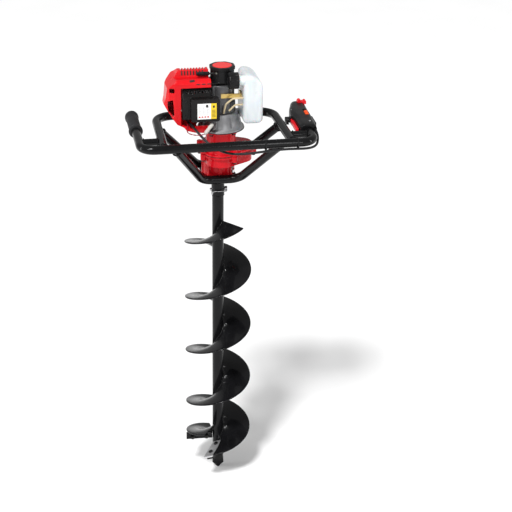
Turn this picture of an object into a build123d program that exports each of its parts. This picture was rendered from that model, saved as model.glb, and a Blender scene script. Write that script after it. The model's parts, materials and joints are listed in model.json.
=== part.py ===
from build123d import *
import math
import os

# One-person petrol auger: power head with tube frame, reduction gearbox and helical bit.
# Millimetres.  The origin is the tip of the pilot point, +Z runs up along the bit's axis,
# +X points to the throttle side and +Y points to the person who holds the grips.

os.makedirs("parts", exist_ok=True)

# ---------------------------------------------------------------- driving dimensions
FIT = 0.05                      # radial running clearance
WELD_GAP = 0.05                 # gap left between welded pieces
TUBE_R = 12.5                   # frame tube, outside radius
TUBE_WALL = 2.0
GRIP_X = 240.0                  # half the distance between the two grip tubes
BAR_Y = -198.0                  # front bar, on the far side from the operator
BAR_Z = 1155.0                  # height of the handlebar plane
GRIP_END_Y = 70.0
GRIP_RISE = 6.0                 # the grip tubes climb this much towards their ends
LOOP_X = 178.0
LOOP_BACK_Y = 80.0
LOWER_Z = 1002.0                # centre of the two lower tubes
FRONT_LOWER_Y = -55.0
REAR_LOWER_Y = 70.0

FLIGHT_R = 100.0
FLIGHT_T = 4.0
FLIGHT_PITCH = 181.0
FLIGHT_START_Z = 94.0           # height of the main flight's cutting end
FLIGHT_START_A = 237.0          # its direction about the axis, degrees
FLIGHT_TURNS = 4.2
LOWER_FLIGHT_A = 97.0
LOWER_FLIGHT_Z = 98.0
BIT_TUBE_R = 17.0
COLLAR_R = 19.0
COLLAR_TOP_Z = 988.0
COLLAR_BOTTOM_Z = 935.0
SHAFT_R = 10.0
PIN_Z = 952.0
PIN_R = 4.0

ENGINE_Y = -50.0                # crankshaft axis, offset from the bit's axis
PRESSURE_ANGLE = 25.0
MODULE_FAST = 1.25
MODULE_SLOW = 1.5
PINION_TEETH = 10
LAY_GEAR_TEETH = 62
LAY_PINION_TEETH = 9
OUTPUT_TEETH = 45
SPLIT_Z = 1083.0                # joint between the gearbox halves
NECK_TOP_Z = 1161.0
CRANK_Z = 1251.0                # cylinder axis height
BORE_R = 22.0
THROW = 17.0
ROD_LENGTH = 60.0
STARTER_TOP_Z = 1340.0

fast_centres = MODULE_FAST * (PINION_TEETH + LAY_GEAR_TEETH) / 2
slow_centres = MODULE_SLOW * (LAY_PINION_TEETH + OUTPUT_TEETH) / 2
LAY_Y = (fast_centres**2 - slow_centres**2 - ENGINE_Y**2) / (-2 * ENGINE_Y)
LAY_X = math.sqrt(slow_centres**2 - LAY_Y**2)


# ---------------------------------------------------------------- helpers
def cyl(x, y, z0, z1, r):
    """Vertical cylinder."""
    return Pos(x, y, (z0 + z1) / 2) * Cylinder(r, z1 - z0)


def ring(x, y, z0, z1, outer, inner):
    """Vertical ring."""
    return cyl(x, y, z0, z1, outer) - cyl(x, y, z0 - 1, z1 + 1, inner)


def block(x0, x1, y0, y1, z0, z1):
    """Box between two corners."""
    return Pos((x0 + x1) / 2, (y0 + y1) / 2, (z0 + z1) / 2) * Box(x1 - x0, y1 - y0, z1 - z0)


def rod_x(x0, x1, y, z, r):
    """Cylinder along X."""
    return Pos((x0 + x1) / 2, y, z) * Rot(0, 90, 0) * Cylinder(r, x1 - x0)


def rod_y(x, y0, y1, z, r):
    """Cylinder along Y."""
    return Pos(x, (y0 + y1) / 2, z) * Rot(90, 0, 0) * Cylinder(r, y1 - y0)


def bar_between(a, b, r):
    """Cylinder from one point to another."""
    start = Vector(*a)
    end = Vector(*b)
    plane = Plane(origin=start, z_dir=end - start)
    return extrude(plane * Circle(r), (end - start).length)


def bent_tube(points, radii, outer, inner=0.0):
    """Tube or rod along straight runs joined by arcs."""
    path = FilletPolyline(*points, radius=radii)
    plane = Plane(origin=path @ 0, z_dir=path % 0)
    section = plane * Circle(outer)
    if inner > 0:
        section = section - plane * Circle(inner)
    return sweep(section, path=path)


def hexagon(x, y, z0, z1, across_flats):
    """Vertical hexagonal prism."""
    flat = Pos(x, y, z0) * RegularPolygon(across_flats / 2, 6, major_radius=False)
    return extrude(flat, z1 - z0)


def outline(circles, z0, z1):
    """Prism over the hull of circles given as (x, y, radius)."""
    edges = ShapeList()
    for x, y, r in circles:
        edges += (Pos(x, y, 0) * Circle(r)).edges()
    return extrude(Pos(0, 0, z0) * make_hull(edges), z1 - z0)


def prism_xz(points, y0, y1):
    """Prism along Y over an outline of (x, z) points."""
    corners = [(x, y0, z) for x, z in points]
    face = make_face(Polyline(*corners, close=True))
    return extrude(face, y1 - y0, dir=(0, 1, 0))


def prism_yz(points, x0, x1):
    """Prism along X over an outline of (y, z) points."""
    corners = [(x0, y, z) for y, z in points]
    face = make_face(Polyline(*corners, close=True))
    return extrude(face, x1 - x0, dir=(1, 0, 0))


def turned(points, x=0.0, y=0.0):
    """Solid of revolution about a vertical axis from (radius, z) points."""
    face = make_face(Polyline(*[(r, 0, z) for r, z in points], close=True))
    return Pos(x, y, 0) * revolve(face, axis=Axis.Z)


def helix_plate(inner, outer, z0, angle, sweep_deg, thickness):
    """Right-handed helical plate that starts at an angle and height and climbs."""
    path = Helix(FLIGHT_PITCH, FLIGHT_PITCH * sweep_deg / 360, inner)
    plane = Plane(origin=((inner + outer) / 2, 0, 0), x_dir=(1, 0, 0), z_dir=(0, -1, 0))
    plate = sweep(plane * Rectangle(outer - inner, thickness), path=path, is_frenet=True)
    return Pos(0, 0, z0) * Rot(0, 0, angle) * plate


def spur_gear(module, teeth, z0, z1, bore, phase):
    """Involute spur gear with one tooth centred at the phase angle, in degrees."""
    pressure = math.radians(PRESSURE_ANGLE)
    pitch_r = module * teeth / 2
    base_r = pitch_r * math.cos(pressure)
    tip_r = pitch_r + 0.8 * module
    root_r = pitch_r - 1.05 * module
    half_pitch_tooth = math.pi / (2 * teeth) - 0.06 * module / pitch_r
    flank = [root_r]
    for part in (0.0, 0.35, 0.7, 1.0):
        flank.append(max(base_r, root_r + 0.1) + part * (tip_r - max(base_r, root_r + 0.1)))
    rising = []
    for r in flank:
        roll = math.acos(min(1.0, base_r / r))
        half = half_pitch_tooth + math.tan(pressure) - pressure - (math.tan(roll) - roll)
        rising.append((r, half))
    points = []
    for tooth in range(teeth):
        middle = math.radians(phase) + 2 * math.pi * tooth / teeth
        for r, half in rising:
            points.append((r * math.cos(middle - half), r * math.sin(middle - half)))
        for r, half in reversed(rising):
            points.append((r * math.cos(middle + half), r * math.sin(middle + half)))
    face = make_face(Polyline(*points, close=True))
    if bore > 0:
        face = face - Circle(bore)
    return Pos(0, 0, z0) * extrude(face, z1 - z0)


def save(name, *solids):
    """Write one node; several arguments make a group of separate solids."""
    shape = solids[0] if len(solids) == 1 else Compound(children=list(solids))
    export_step(shape, f"parts/{name}.step")
    return shape


# ---------------------------------------------------------------- tube frame
def grip_end(side):
    return (side * GRIP_X, GRIP_END_Y, BAR_Z + GRIP_RISE)


def handlebar(outer, inner=0.0):
    points = [grip_end(-1), (-GRIP_X, BAR_Y, BAR_Z), (GRIP_X, BAR_Y, BAR_Z), grip_end(1)]
    return bent_tube(points, [38, 38], outer, inner)


def rear_loop(outer, inner=0.0):
    points = [
        (-LOOP_X, BAR_Y, BAR_Z),
        (-LOOP_X + 6, LOOP_BACK_Y, BAR_Z),
        (LOOP_X - 6, LOOP_BACK_Y, BAR_Z),
        (LOOP_X, BAR_Y, BAR_Z),
    ]
    return bent_tube(points, [52, 52], outer, inner)


def lower_tube(top, bottom, outer, inner=0.0):
    """U tube that drops from the handlebar plane to the mounting plate."""
    points = [
        (-top[0], top[1], BAR_Z),
        (-bottom[0], bottom[1], LOWER_Z),
        (bottom[0], bottom[1], LOWER_Z),
        (top[0], top[1], BAR_Z),
    ]
    return bent_tube(points, [42, 42], outer, inner)


FRONT_LOWER = ((148.0, BAR_Y), (52.0, FRONT_LOWER_Y))
REAR_LOWER = ((174.0, -42.0), (48.0, REAR_LOWER_Y))
PLATE_TOP_Z = 1004.5
PLATE_BOTTOM_Z = 999.5
PLATE_BOLT_CIRCLE = 34.0
PLATE_BOLT_ANGLES = (45, 135, 225, 290)
PLATE_BOLTS = [
    (PLATE_BOLT_CIRCLE * math.cos(math.radians(a)), PLATE_BOLT_CIRCLE * math.sin(math.radians(a)))
    for a in PLATE_BOLT_ANGLES
]
inner_r = TUBE_R - TUBE_WALL
clear_r = TUBE_R + WELD_GAP

bar_solid = handlebar(clear_r)
loop_solid = rear_loop(clear_r)
save("handlebar_tube", handlebar(TUBE_R, inner_r))
save("rear_loop_tube", rear_loop(TUBE_R, inner_r) - bar_solid)
BRACE_Y = -133.0
BRACE_R = 10.0
braces = []
for side in (-1, 1):
    brace = rod_x(min(side * 172, side * 238), max(side * 172, side * 238), BRACE_Y, BAR_Z, BRACE_R)
    core = rod_x(min(side * 150, side * 260), max(side * 150, side * 260), BRACE_Y, BAR_Z, BRACE_R - 2)
    braces.append(brace - bar_solid - loop_solid - core)
save("side_braces", *[b.solids().sort_by(SortBy.VOLUME)[-1] for b in braces])
front_lower = lower_tube(*FRONT_LOWER, TUBE_R, inner_r) - bar_solid
rear_lower = lower_tube(*REAR_LOWER, TUBE_R, inner_r) - loop_solid
save("front_lower_tube", front_lower.solids().sort_by(SortBy.VOLUME)[-1])
save("rear_lower_tube", rear_lower.solids().sort_by(SortBy.VOLUME)[-1])

plate = block(-49, 49, FRONT_LOWER_Y, REAR_LOWER_Y, PLATE_BOTTOM_Z, PLATE_TOP_Z)
plate = plate - lower_tube(*FRONT_LOWER, clear_r) - lower_tube(*REAR_LOWER, clear_r)
plate = plate.solids().sort_by(SortBy.VOLUME)[-1] - cyl(0, 0, 990, 1010, 24)
plate_bolts = []
for x, y in PLATE_BOLTS:
    plate = plate - cyl(x, y, 990, 1010, 4 + FIT)
    head = hexagon(x, y, PLATE_BOTTOM_Z - 5.5, PLATE_BOTTOM_Z, 13)
    plate_bolts.append(head + cyl(x, y, PLATE_BOTTOM_Z, 1014, 4))
save("mounting_plate", plate)
save("plate_bolts", *plate_bolts)


# ---------------------------------------------------------------- gearbox
O_AXIS = (0.0, 0.0)
E_AXIS = (0.0, ENGINE_Y)
M_AXIS = (LAY_X, LAY_Y)
BEARINGS = {
    # name: (axis, bottom, top, outer radius, inner radius)
    "output_low": (O_AXIS, 1008, 1020, 21, SHAFT_R),
    "output_top": (O_AXIS, 1049.5, 1057.5, 16, 7.5),
    "lay_low": (M_AXIS, 1012, 1020, 11, 4),
    "lay_top": (M_AXIS, 1084.5, 1092.5, 11, 4),
    "input_low": (E_AXIS, 1050, 1057, 9.5, 3.5),
    "input_top": (E_AXIS, 1086, 1096, 16, 6),
    "crank_low": (E_AXIS, 1216, 1227, 17.5, 7.5),
    "crank_top": (E_AXIS, 1272, 1283, 17.5, 7.5),
}
EAR_POINTS = [
    (-51, 14), (-50, -52), (34, -86), (100, LAY_Y), (24, 50),
]


def gearbox_outline(grow, z0, z1):
    circles = [(0, 0, 46), (LAY_X, LAY_Y, 44.5), (0, ENGINE_Y, 42), (58, LAY_Y, 36)]
    return outline([(x, y, r + grow) for x, y, r in circles], z0, z1)


def ears(z0, z1, r):
    return [cyl(x, y, z0, z1, r) for x, y in EAR_POINTS]


def gearbox_lower_housing():
    body = cyl(0, 0, PLATE_TOP_Z, SPLIT_Z - 0.5, 44) + gearbox_outline(0, 1050, SPLIT_Z - 0.5)
    body = body + gearbox_outline(6, 1076, SPLIT_Z - 0.5)
    for step in range(8):
        angle = 45 * step - 90
        rib = block(40, 48, -4.5, 4.5, PLATE_TOP_Z, 1052)
        body = body + Rot(0, 0, angle) * rib
    for ear in ears(1064, SPLIT_Z - 0.5, 8.5):
        body = body + ear
    body = body - cyl(0, 0, 1024, 1048, 38) - cyl(*M_AXIS, 1020, 1050, 11.5)
    body = body - gearbox_outline(-4, 1058, SPLIT_Z + 1)
    body = body - cyl(0, 0, 1007.9, 1020, 21) - cyl(0, 0, 1000, 1010, 17) - cyl(0, 0, 1019, 1025, 16)
    body = body - cyl(*M_AXIS, 1011.9, 1021, 11) - cyl(0, 0, 1047, 1059, 38)
    body = body - cyl(*E_AXIS, 1049.9, 1059, 9.5) - cyl(*M_AXIS, 1047, 1059, 13)
    for x, y in PLATE_BOLTS:
        body = body - cyl(x, y, 1000, 1016, 4 + FIT)
    for x, y in EAR_POINTS:
        body = body - cyl(x, y, 1060, 1090, 3 + FIT) - cyl(x, y, 1056, 1064, 6.5)
    return body - lower_tube(*FRONT_LOWER, TUBE_R + 0.4)


def gearbox_upper_housing():
    body = gearbox_outline(0, SPLIT_Z + 0.5, 1103) + gearbox_outline(6, SPLIT_Z + 0.5, 1090)
    for ear in ears(SPLIT_Z + 0.5, 1100, 8.5):
        body = body + ear
    body = body + cyl(*E_AXIS, 1100, 1152, 42.5) + cyl(*E_AXIS, 1150, NECK_TOP_Z, 48)
    for x, y in NECK_BOLTS:
        body = body + cyl(x, y, 1150, NECK_TOP_Z, 8)
        body = body - cyl(x, y, 1140, 1165, 3 + FIT) - cyl(x, y, 1144, 1150, 6.5)
    body = body - cyl(*E_AXIS, 1106, 1170, 38.5) - cyl(*E_AXIS, 1086, 1096.1, 16)
    body = body - cyl(*E_AXIS, 1080, 1087, 13) - cyl(*E_AXIS, 1096, 1107, 11)
    body = body - cyl(*M_AXIS, 1080, 1092.6, 11)
    for x, y in EAR_POINTS:
        body = body - cyl(x, y, 1080, 1097, 3 + FIT)
    return body


NECK_BOLTS = [
    (46 * math.cos(math.radians(a)), ENGINE_Y + 46 * math.sin(math.radians(a)))
    for a in (-45, -135, 45, 135)
]


def bolt_up(x, y, z_head, length, r, across_flats, head=4.0):
    """Bolt with its head below and its shank pointing up."""
    return hexagon(x, y, z_head - head, z_head, across_flats) + cyl(x, y, z_head, z_head + length, r)


gasket = gearbox_outline(6, SPLIT_Z - 0.5, SPLIT_Z + 0.5) - gearbox_outline(-4, 1080, 1090)
for x, y in EAR_POINTS:
    gasket = gasket - cyl(x, y, 1080, 1090, 8.6)
seal = ring(0, 0, 1004.6, 1007.8, 16.9, SHAFT_R + FIT)
gearbox_bolts = [bolt_up(x, y, 1064, 30, 3, 10) for x, y in EAR_POINTS]
gearbox_bolts += [bolt_up(x, y, 1150, 16, 3, 10) for x, y in NECK_BOLTS]
save("gearbox_lower_housing", gearbox_lower_housing())
save("gearbox_upper_housing", gearbox_upper_housing())
save("gearbox_seals", gasket.solids().sort_by(SortBy.VOLUME)[-1], seal)
save("gearbox_bolts", *gearbox_bolts)
save(
    "ball_bearings",
    *[ring(*axis, z0, z1, outer, inner + 0.03) for axis, z0, z1, outer, inner in BEARINGS.values()],
)

lay_angle = math.degrees(math.atan2(LAY_Y, LAY_X))
lay_to_engine = math.degrees(math.atan2(ENGINE_Y - LAY_Y, -LAY_X))
output_gear = spur_gear(MODULE_SLOW, OUTPUT_TEETH, 1028, 1044, SHAFT_R, lay_angle)
output_gear = output_gear - [
    Rot(0, 0, 60 * step) * cyl(21, 0, 1020, 1050, 5) for step in range(6)
]
output_shaft = turned(
    [(0, 926), (SHAFT_R - 1, 926), (SHAFT_R, 927), (SHAFT_R, 1048.5), (7.5, 1048.5), (7.5, 1058), (0, 1058)]
) - rod_x(-20, 20, 0, PIN_Z, PIN_R + FIT)
lay_pinion_phase = lay_angle + 180 + 180 / LAY_PINION_TEETH
lay_pinion = spur_gear(MODULE_SLOW, LAY_PINION_TEETH, 1024, 1048, 0, lay_pinion_phase)
layshaft = Pos(*M_AXIS, 0) * lay_pinion + cyl(*M_AXIS, 1012.2, 1092, 4) + cyl(*M_AXIS, 1048, 1074, 5)
lay_gear = spur_gear(MODULE_FAST, LAY_GEAR_TEETH, 1062, 1074, 5, lay_to_engine)
lay_gear = lay_gear - [Rot(0, 0, 60 * step) * cyl(22, 0, 1050, 1080, 7) for step in range(6)]
pinion_phase = lay_to_engine + 180 + 180 / PINION_TEETH
input_gear = spur_gear(MODULE_FAST, PINION_TEETH, 1060, 1077, 0, pinion_phase)
input_pinion = Pos(*E_AXIS, 0) * input_gear
input_pinion = input_pinion + cyl(*E_AXIS, 1050.2, 1060, 3.5) + cyl(*E_AXIS, 1077, 1104, 6)
input_pinion = input_pinion + cyl(*E_AXIS, 1104, 1111, 5)
drum = turned(
    [(5, 1107), (9, 1107), (9, 1108.5), (37, 1108.5), (37, 1137), (34.5, 1137), (34.5, 1111), (5, 1111)],
    *E_AXIS,
)
save("output_shaft", output_shaft)
save("output_gear", output_gear)
save("layshaft", layshaft, Pos(*M_AXIS, 0) * lay_gear)
save("input_pinion", input_pinion)
save("clutch_drum", drum)


# ---------------------------------------------------------------- engine, rotating parts
def clutch_shoes():
    disc = ring(*E_AXIS, 1114, 1132, 34, 12) & block(-40, 40, -90, -10, 1110, 1140)
    slot = block(-50, 50, ENGINE_Y - 3, ENGINE_Y + 3, 1100, 1150)
    halves = (disc - slot).solids()
    return [h for h in halves]


crankshaft = turned(
    [
        (0, 1113.5), (6, 1113.5), (6, 1165), (7.5, 1167), (7.5, 1236), (26, 1236), (26, 1244.5),
        (0, 1244.5),
    ],
    *E_AXIS,
)
crankshaft_top = turned(
    [(0, 1257.5), (26, 1257.5), (26, 1266), (7.5, 1266), (7.5, 1290), (5, 1292), (5, 1308), (0, 1308)],
    *E_AXIS,
)


def flywheel():
    hub = turned(
        [(7.5, 1168), (16, 1168), (16, 1178), (46, 1178), (46, 1188), (20, 1188), (12, 1202), (7.5, 1202)],
        *E_AXIS,
    )
    for step in range(12):
        blade = block(20, 43, -1.2, 1.2, 1187, 1200)
        hub = hub + Pos(*E_AXIS, 0) * Rot(0, 0, 30 * step) * blade
    return hub


save("crankshaft", crankshaft, crankshaft_top)
save("clutch_shoes", *clutch_shoes())
save("flywheel", flywheel())

# ---------------------------------------------------------------- engine, fixed parts
crank_pin_x = -THROW
piston_pin_x = -THROW - ROD_LENGTH
crank_pin = cyl(crank_pin_x, ENGINE_Y, 1244.9, 1257.1, 6)
rod = ring(crank_pin_x, ENGINE_Y, 1246.5, 1255.5, 10, 6 + FIT)
rod = rod + ring(piston_pin_x, ENGINE_Y, 1246.5, 1255.5, 8, 5 + FIT)
shank = block(piston_pin_x + 7, crank_pin_x - 9, ENGINE_Y - 4, ENGINE_Y + 4, 1248, 1254)
rod = rod + shank
piston = rod_x(piston_pin_x - 18, piston_pin_x + 16, ENGINE_Y, CRANK_Z, BORE_R)
piston = piston - rod_x(piston_pin_x - 13, piston_pin_x + 17, ENGINE_Y, CRANK_Z, BORE_R - 4)
piston = piston + cyl(piston_pin_x, ENGINE_Y, CRANK_Z - 21, CRANK_Z - 6, 8)
piston = piston + cyl(piston_pin_x, ENGINE_Y, CRANK_Z + 6, CRANK_Z + 21, 8)
piston = piston & rod_x(-120, 0, ENGINE_Y, CRANK_Z, BORE_R)
piston = piston - cyl(piston_pin_x, ENGINE_Y, CRANK_Z - 30, CRANK_Z + 30, 5 + FIT)
for ring_x in (piston_pin_x - 15, piston_pin_x - 11.5):
    groove = rod_x(ring_x, ring_x + 1.5, ENGINE_Y, CRANK_Z, BORE_R + 1)
    piston = piston - (groove - rod_x(ring_x - 1, ring_x + 3, ENGINE_Y, CRANK_Z, BORE_R - 1.2))
wrist_pin = cyl(piston_pin_x, ENGINE_Y, CRANK_Z - 19, CRANK_Z + 19, 5)
save("connecting_rod", rod, crank_pin, wrist_pin)
save("piston", piston)

CYLINDER_FOOT_X = -42.0
CYLINDER_TOP_X = -112.0


def cylinder():
    body = rod_x(CYLINDER_TOP_X, CYLINDER_FOOT_X, ENGINE_Y, CRANK_Z, 27)
    body = body + block(CYLINDER_FOOT_X - 6, CYLINDER_FOOT_X, -78, -22, CRANK_Z - 28, CRANK_Z + 28)
    for step in range(10):
        x = CYLINDER_FOOT_X - 12 - 6.2 * step
        body = body + block(x - 1.8, x, -84, -16, CRANK_Z - 36, CRANK_Z + 36)
    body = body + block(-76, -54, -85.5, -60, CRANK_Z - 14, CRANK_Z + 14)
    body = body + block(-76, -54, -40, 0, CRANK_Z - 14, CRANK_Z + 14)
    body = body - rod_x(-101, -30, ENGINE_Y, CRANK_Z, BORE_R + FIT)
    body = body - rod_x(-120, -95, ENGINE_Y, CRANK_Z, 6)
    body = body - rod_y(-65, -90, -60, CRANK_Z, 8) - rod_y(-65, -40, 5, CRANK_Z, 8)
    return body


def crankcase_half(upper):
    """Half of the crankcase, split across the cylinder axis."""
    z0, z1 = (CRANK_Z, 1290) if upper else (1210, CRANK_Z)
    body = cyl(*E_AXIS, z0, z1, 38)
    body = body + block(-41.9, -20, -78, -22, max(z0, 1223), min(z1, 1279))
    if upper:
        for x, y in STARTER_POSTS:
            body = body + cyl(x, y, 1262, 1290, 6)
    else:
        for step in range(24):
            body = body + Pos(*E_AXIS, 0) * Rot(0, 0, 15 * step) * block(36, 41, -1.1, 1.1, 1210, 1238)
        body = body + cyl(*E_AXIS, 1210, 1213, 41.3)
    body = body - cyl(*E_AXIS, 1234, 1268, 28.5) - cyl(*E_AXIS, 1200, 1300, 12)
    body = body - cyl(*E_AXIS, 1216, 1235, 17.5) - cyl(*E_AXIS, 1267, 1283, 17.5)
    body = body - cyl(*E_AXIS, 1227, 1235, 19) - cyl(*E_AXIS, 1267, 1272, 19)
    body = body - rod_x(-50, -10, ENGINE_Y, CRANK_Z, 22.5)
    return body


STARTER_POSTS = [(-26, -76), (26, -76), (-26, -24), (26, -24)]


def fan_housing():
    """Flared bell over the flywheel, with an air ring at the top."""
    body = turned(
        [
            (36, 1161), (64, 1161), (66, 1162), (66, 1165), (60, 1169), (55, 1176), (52.5, 1186), (51, 1196),
            (49, 1206), (47, 1209.9), (18, 1209.9), (18, 1206), (45, 1206), (47.5, 1196), (49, 1186),
            (51, 1176), (54, 1168), (36, 1166),
        ],
        *E_AXIS,
    )
    for step in range(12):
        opening = Pos(*E_AXIS, 0) * Rot(0, 0, 30 * step) * block(24, 40, -4, 4, 1200, 1215)
        body = body - opening
    for x, y in NECK_BOLTS:
        body = body - cyl(x, y, 1155, 1167.5, 3 + FIT)
    return body


save("fan_housing", fan_housing())
save("crankcase", crankcase_half(False), crankcase_half(True))
save("cylinder", cylinder())

plug_hexagon = extrude(RegularPolygon(9.5, 6, major_radius=False), 4.4)
plug = rod_x(-122, -103, ENGINE_Y, CRANK_Z, 5.9)
plug = plug + Pos(-116.5, ENGINE_Y, CRANK_Z) * Rot(0, 90, 0) * plug_hexagon
plug = plug + rod_x(-131, -121, ENGINE_Y, CRANK_Z, 5)
boot = rod_x(-146, -123, ENGINE_Y, CRANK_Z, 9) + rod_y(-137, ENGINE_Y, ENGINE_Y + 26, CRANK_Z, 7)
boot = boot - rod_x(-132, -110, ENGINE_Y, CRANK_Z, 6)


# ---------------------------------------------------------------- red cylinder cover
SHROUD_XZ = [
    (-36, 1186), (-42, 1170), (-52, 1164), (-80, 1166), (-104, 1174), (-112, 1184), (-130, 1193), (-147, 1216),
    (-165, 1247), (-160, 1262), (-156, 1294), (-128, 1320), (-121, 1332), (-36, 1332),
]
SHROUD_YZ = [
    (-100, 1150), (-112, 1176), (-112, 1308), (-108, 1316), (-102, 1319), (-96, 1318), (-92, 1314),
    (-62, 1314), (-58, 1332), (-34, 1332), (-6, 1316), (8, 1292), (13, 1270), (13, 1176), (0, 1150),
]
SHROUD_XY = [
    (-30, -112), (-136, -112), (-152, -104), (-165, -84), (-165, -56), (-150, -20), (-122, 13), (-30, 13),
]
SHROUD_WALL = 3.0


def inset(points, centre, distance):
    """Outline moved inwards by a distance along each coordinate."""
    moved = []
    for a, b in points:
        da = distance if a < centre[0] else -distance
        db = distance if b < centre[1] else -distance
        moved.append((a + da, b + db))
    return moved


def prism_xy(points, z0, z1):
    """Vertical prism over an outline of (x, y) points."""
    corners = [(x, y, z0) for x, y in points]
    return extrude(make_face(Polyline(*corners, close=True)), z1 - z0, dir=(0, 0, 1))


def engine_shroud():
    outer = prism_xz(SHROUD_XZ, -130, 30) & prism_yz(SHROUD_YZ, -180, 0) & prism_xy(SHROUD_XY, 1100, 1400)
    inner_xz = inset(SHROUD_XZ, (-95, 1245), SHROUD_WALL)
    inner_xz = [(x + 20 if x > -60 else x, z) for x, z in inner_xz]
    inner_xy = inset(SHROUD_XY, (-95, -50), SHROUD_WALL)
    inner_xy = [(x + 20 if x > -60 else x, y) for x, y in inner_xy]
    inner = prism_xz(inner_xz, -130, 30) & prism_yz(inset(SHROUD_YZ, (-50, 1245), SHROUD_WALL), -180, 10)
    body = outer - (inner & prism_xy(inner_xy, 1100, 1400))
    body = body - block(-119, -20, -125, -105, 1188, 1296)
    body = body - cyl(*E_AXIS, 1140, 1213, 68) - cyl(*E_AXIS, 1213, 1296, 46)
    body = body - block(-90, -40, 5, 20, 1228, 1274)
    body = body - rod_y(-97, 5, 20, 1193, 8) - rod_y(-89, -120, -100, 1187, 7)
    for step in range(9):
        x = -112 + 8.2 * step
        body = body - block(x, x + 3.4, -52, -8, 1322, 1345)
    for step in range(3):
        x = -112 + 17 * step
        body = body - block(x, x + 12, -88, -84, 1308, 1320)
    body = body - block(-150, -137, -120, -100, 1284, 1296)
    body = body - prism_xz([(-153, 1222), (-155, 1258), (-141, 1264), (-138, 1222), (-143, 1212)], -125, -95)
    return body.solids().sort_by(SortBy.VOLUME)[-1]


save("engine_shroud", engine_shroud())
save("spark_plug", plug, boot)

# ---------------------------------------------------------------- exhaust side
muffler = block(-98, -36, -108, -86, 1214, 1266)
muffler = fillet(muffler.edges().filter_by(Axis.Y), 8)
muffler = muffler + rod_y(-48, -96, -86, 1230, 1)


def muffler_guard():
    """Sheet box bolted over the muffler, with a slotted grille behind its top edge."""
    box_out = block(-94.5, -15, -133, -108.5, 1205, 1270)
    box_out = fillet(box_out.edges().filter_by(Axis.Y), 6)
    box_in = block(-92.5, -17, -131, -100, 1207, 1268)
    body = box_out - box_in
    section = [(-110.5, 1268), (-108.5, 1268), (-108.5, 1270), (-96, 1292), (-98, 1292), (-110.5, 1270)]
    grille = prism_yz(section, -113, -38)
    for step in range(6):
        x = -105 + 11 * step
        grille = grille - block(x, x + 6, -120, -90, 1279, 1285)
    back = block(-116, -93, -110.5, -108.5, 1206, 1268)
    return body + grille + back


save("muffler", muffler)
save("muffler_guard", muffler_guard())

# ---------------------------------------------------------------- intake side
CARB_X = -65.0
insulator = block(-84, -46, 0.3, 14, 1232, 1270) - rod_y(CARB_X, -1, 15, CRANK_Z, 8)
carburettor = block(-82, -48, 14.3, 44, 1230, 1272) - rod_y(CARB_X, 10, 50, CRANK_Z, 8)
carburettor = carburettor + cyl(CARB_X, 29, 1214, 1230, 13) + block(-99, -82, 24, 34, 1234, 1242)
carburettor = carburettor - cyl(-94, 29, 1230, 1245, 2) - cyl(CARB_X, 29, 1262, 1273, 3 + FIT)
throttle_arm = cyl(CARB_X, 29, 1263, 1280, 3) + block(CARB_X - 15, CARB_X, 26.5, 31.5, 1276, 1279)
throttle_arm = throttle_arm + cyl(CARB_X - 15, 29, 1276, 1279, 4)
filter_cover = block(-100, -30, 44.5, 86, 1216, 1286)
filter_cover = fillet(filter_cover.edges().filter_by(Axis.Y), 12)
filter_cover = filter_cover - block(-97, -33, 44, 83, 1222, 1280)
filter_foam = block(-94, -36, 50, 78, 1224, 1278) - rod_y(CARB_X, 40, 60, CRANK_Z, 8)
filter_plate = block(-96.5, -33.5, 44.6, 47.5, 1222.5, 1279.5) - rod_y(CARB_X, 40, 50, CRANK_Z, 8)
filter_plate = filter_plate - rod_x(-40, -30, 46, 1250, 0.5)
choke_lever = rod_x(-29.6, -22, 58, 1262, 5) + block(-26, -23, 55.5, 60.5, 1262, 1284)
save("carburettor", carburettor, insulator)
save("throttle_arm", throttle_arm)
save("air_filter_cover", filter_cover)
save("air_filter_foam", filter_foam, filter_plate)
save("choke_lever", choke_lever)

# ---------------------------------------------------------------- fuel tank
TANK_X = (53.0, 108.5)
TANK_Y = (-122.0, -14.0)
TANK_Z = (1187.0, 1326.0)
TANK_WALL = 2.5
TANK_TOP_R = 42.0
TANK_EDGE_R = 12.0
CAP = (40.0, -106.0, 1311.0)    # mouth of the filler neck, whose axis runs along -X
CAP_R = 23.0


def tank_form(shrink):
    """Rounded slab with a large radius on its outer top edge."""
    body = block(
        TANK_X[0] + shrink, TANK_X[1] - shrink, TANK_Y[0] + shrink, TANK_Y[1] - shrink,
        TANK_Z[0] + shrink, TANK_Z[1] - shrink,
    )
    along_y = body.edges().filter_by(Axis.Y).sort_by(lambda e: e.center().X + e.center().Z)
    body = fillet(along_y[-1:], TANK_TOP_R - shrink)
    corners = [
        e for e in body.edges().filter_by(Axis.Y)
        if (e.center().X < TANK_X[0] + shrink + 1) or (e.center().Z < TANK_Z[0] + shrink + 1)
    ]
    body = fillet([e for e in corners if e.center().X < TANK_X[0] + 9 or e.center().X > TANK_X[1] - 9],
                  TANK_EDGE_R + 2 - shrink)
    ends = body.faces().filter_by(Axis.Y).edges()
    return fillet(ends, TANK_EDGE_R - shrink)


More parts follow.
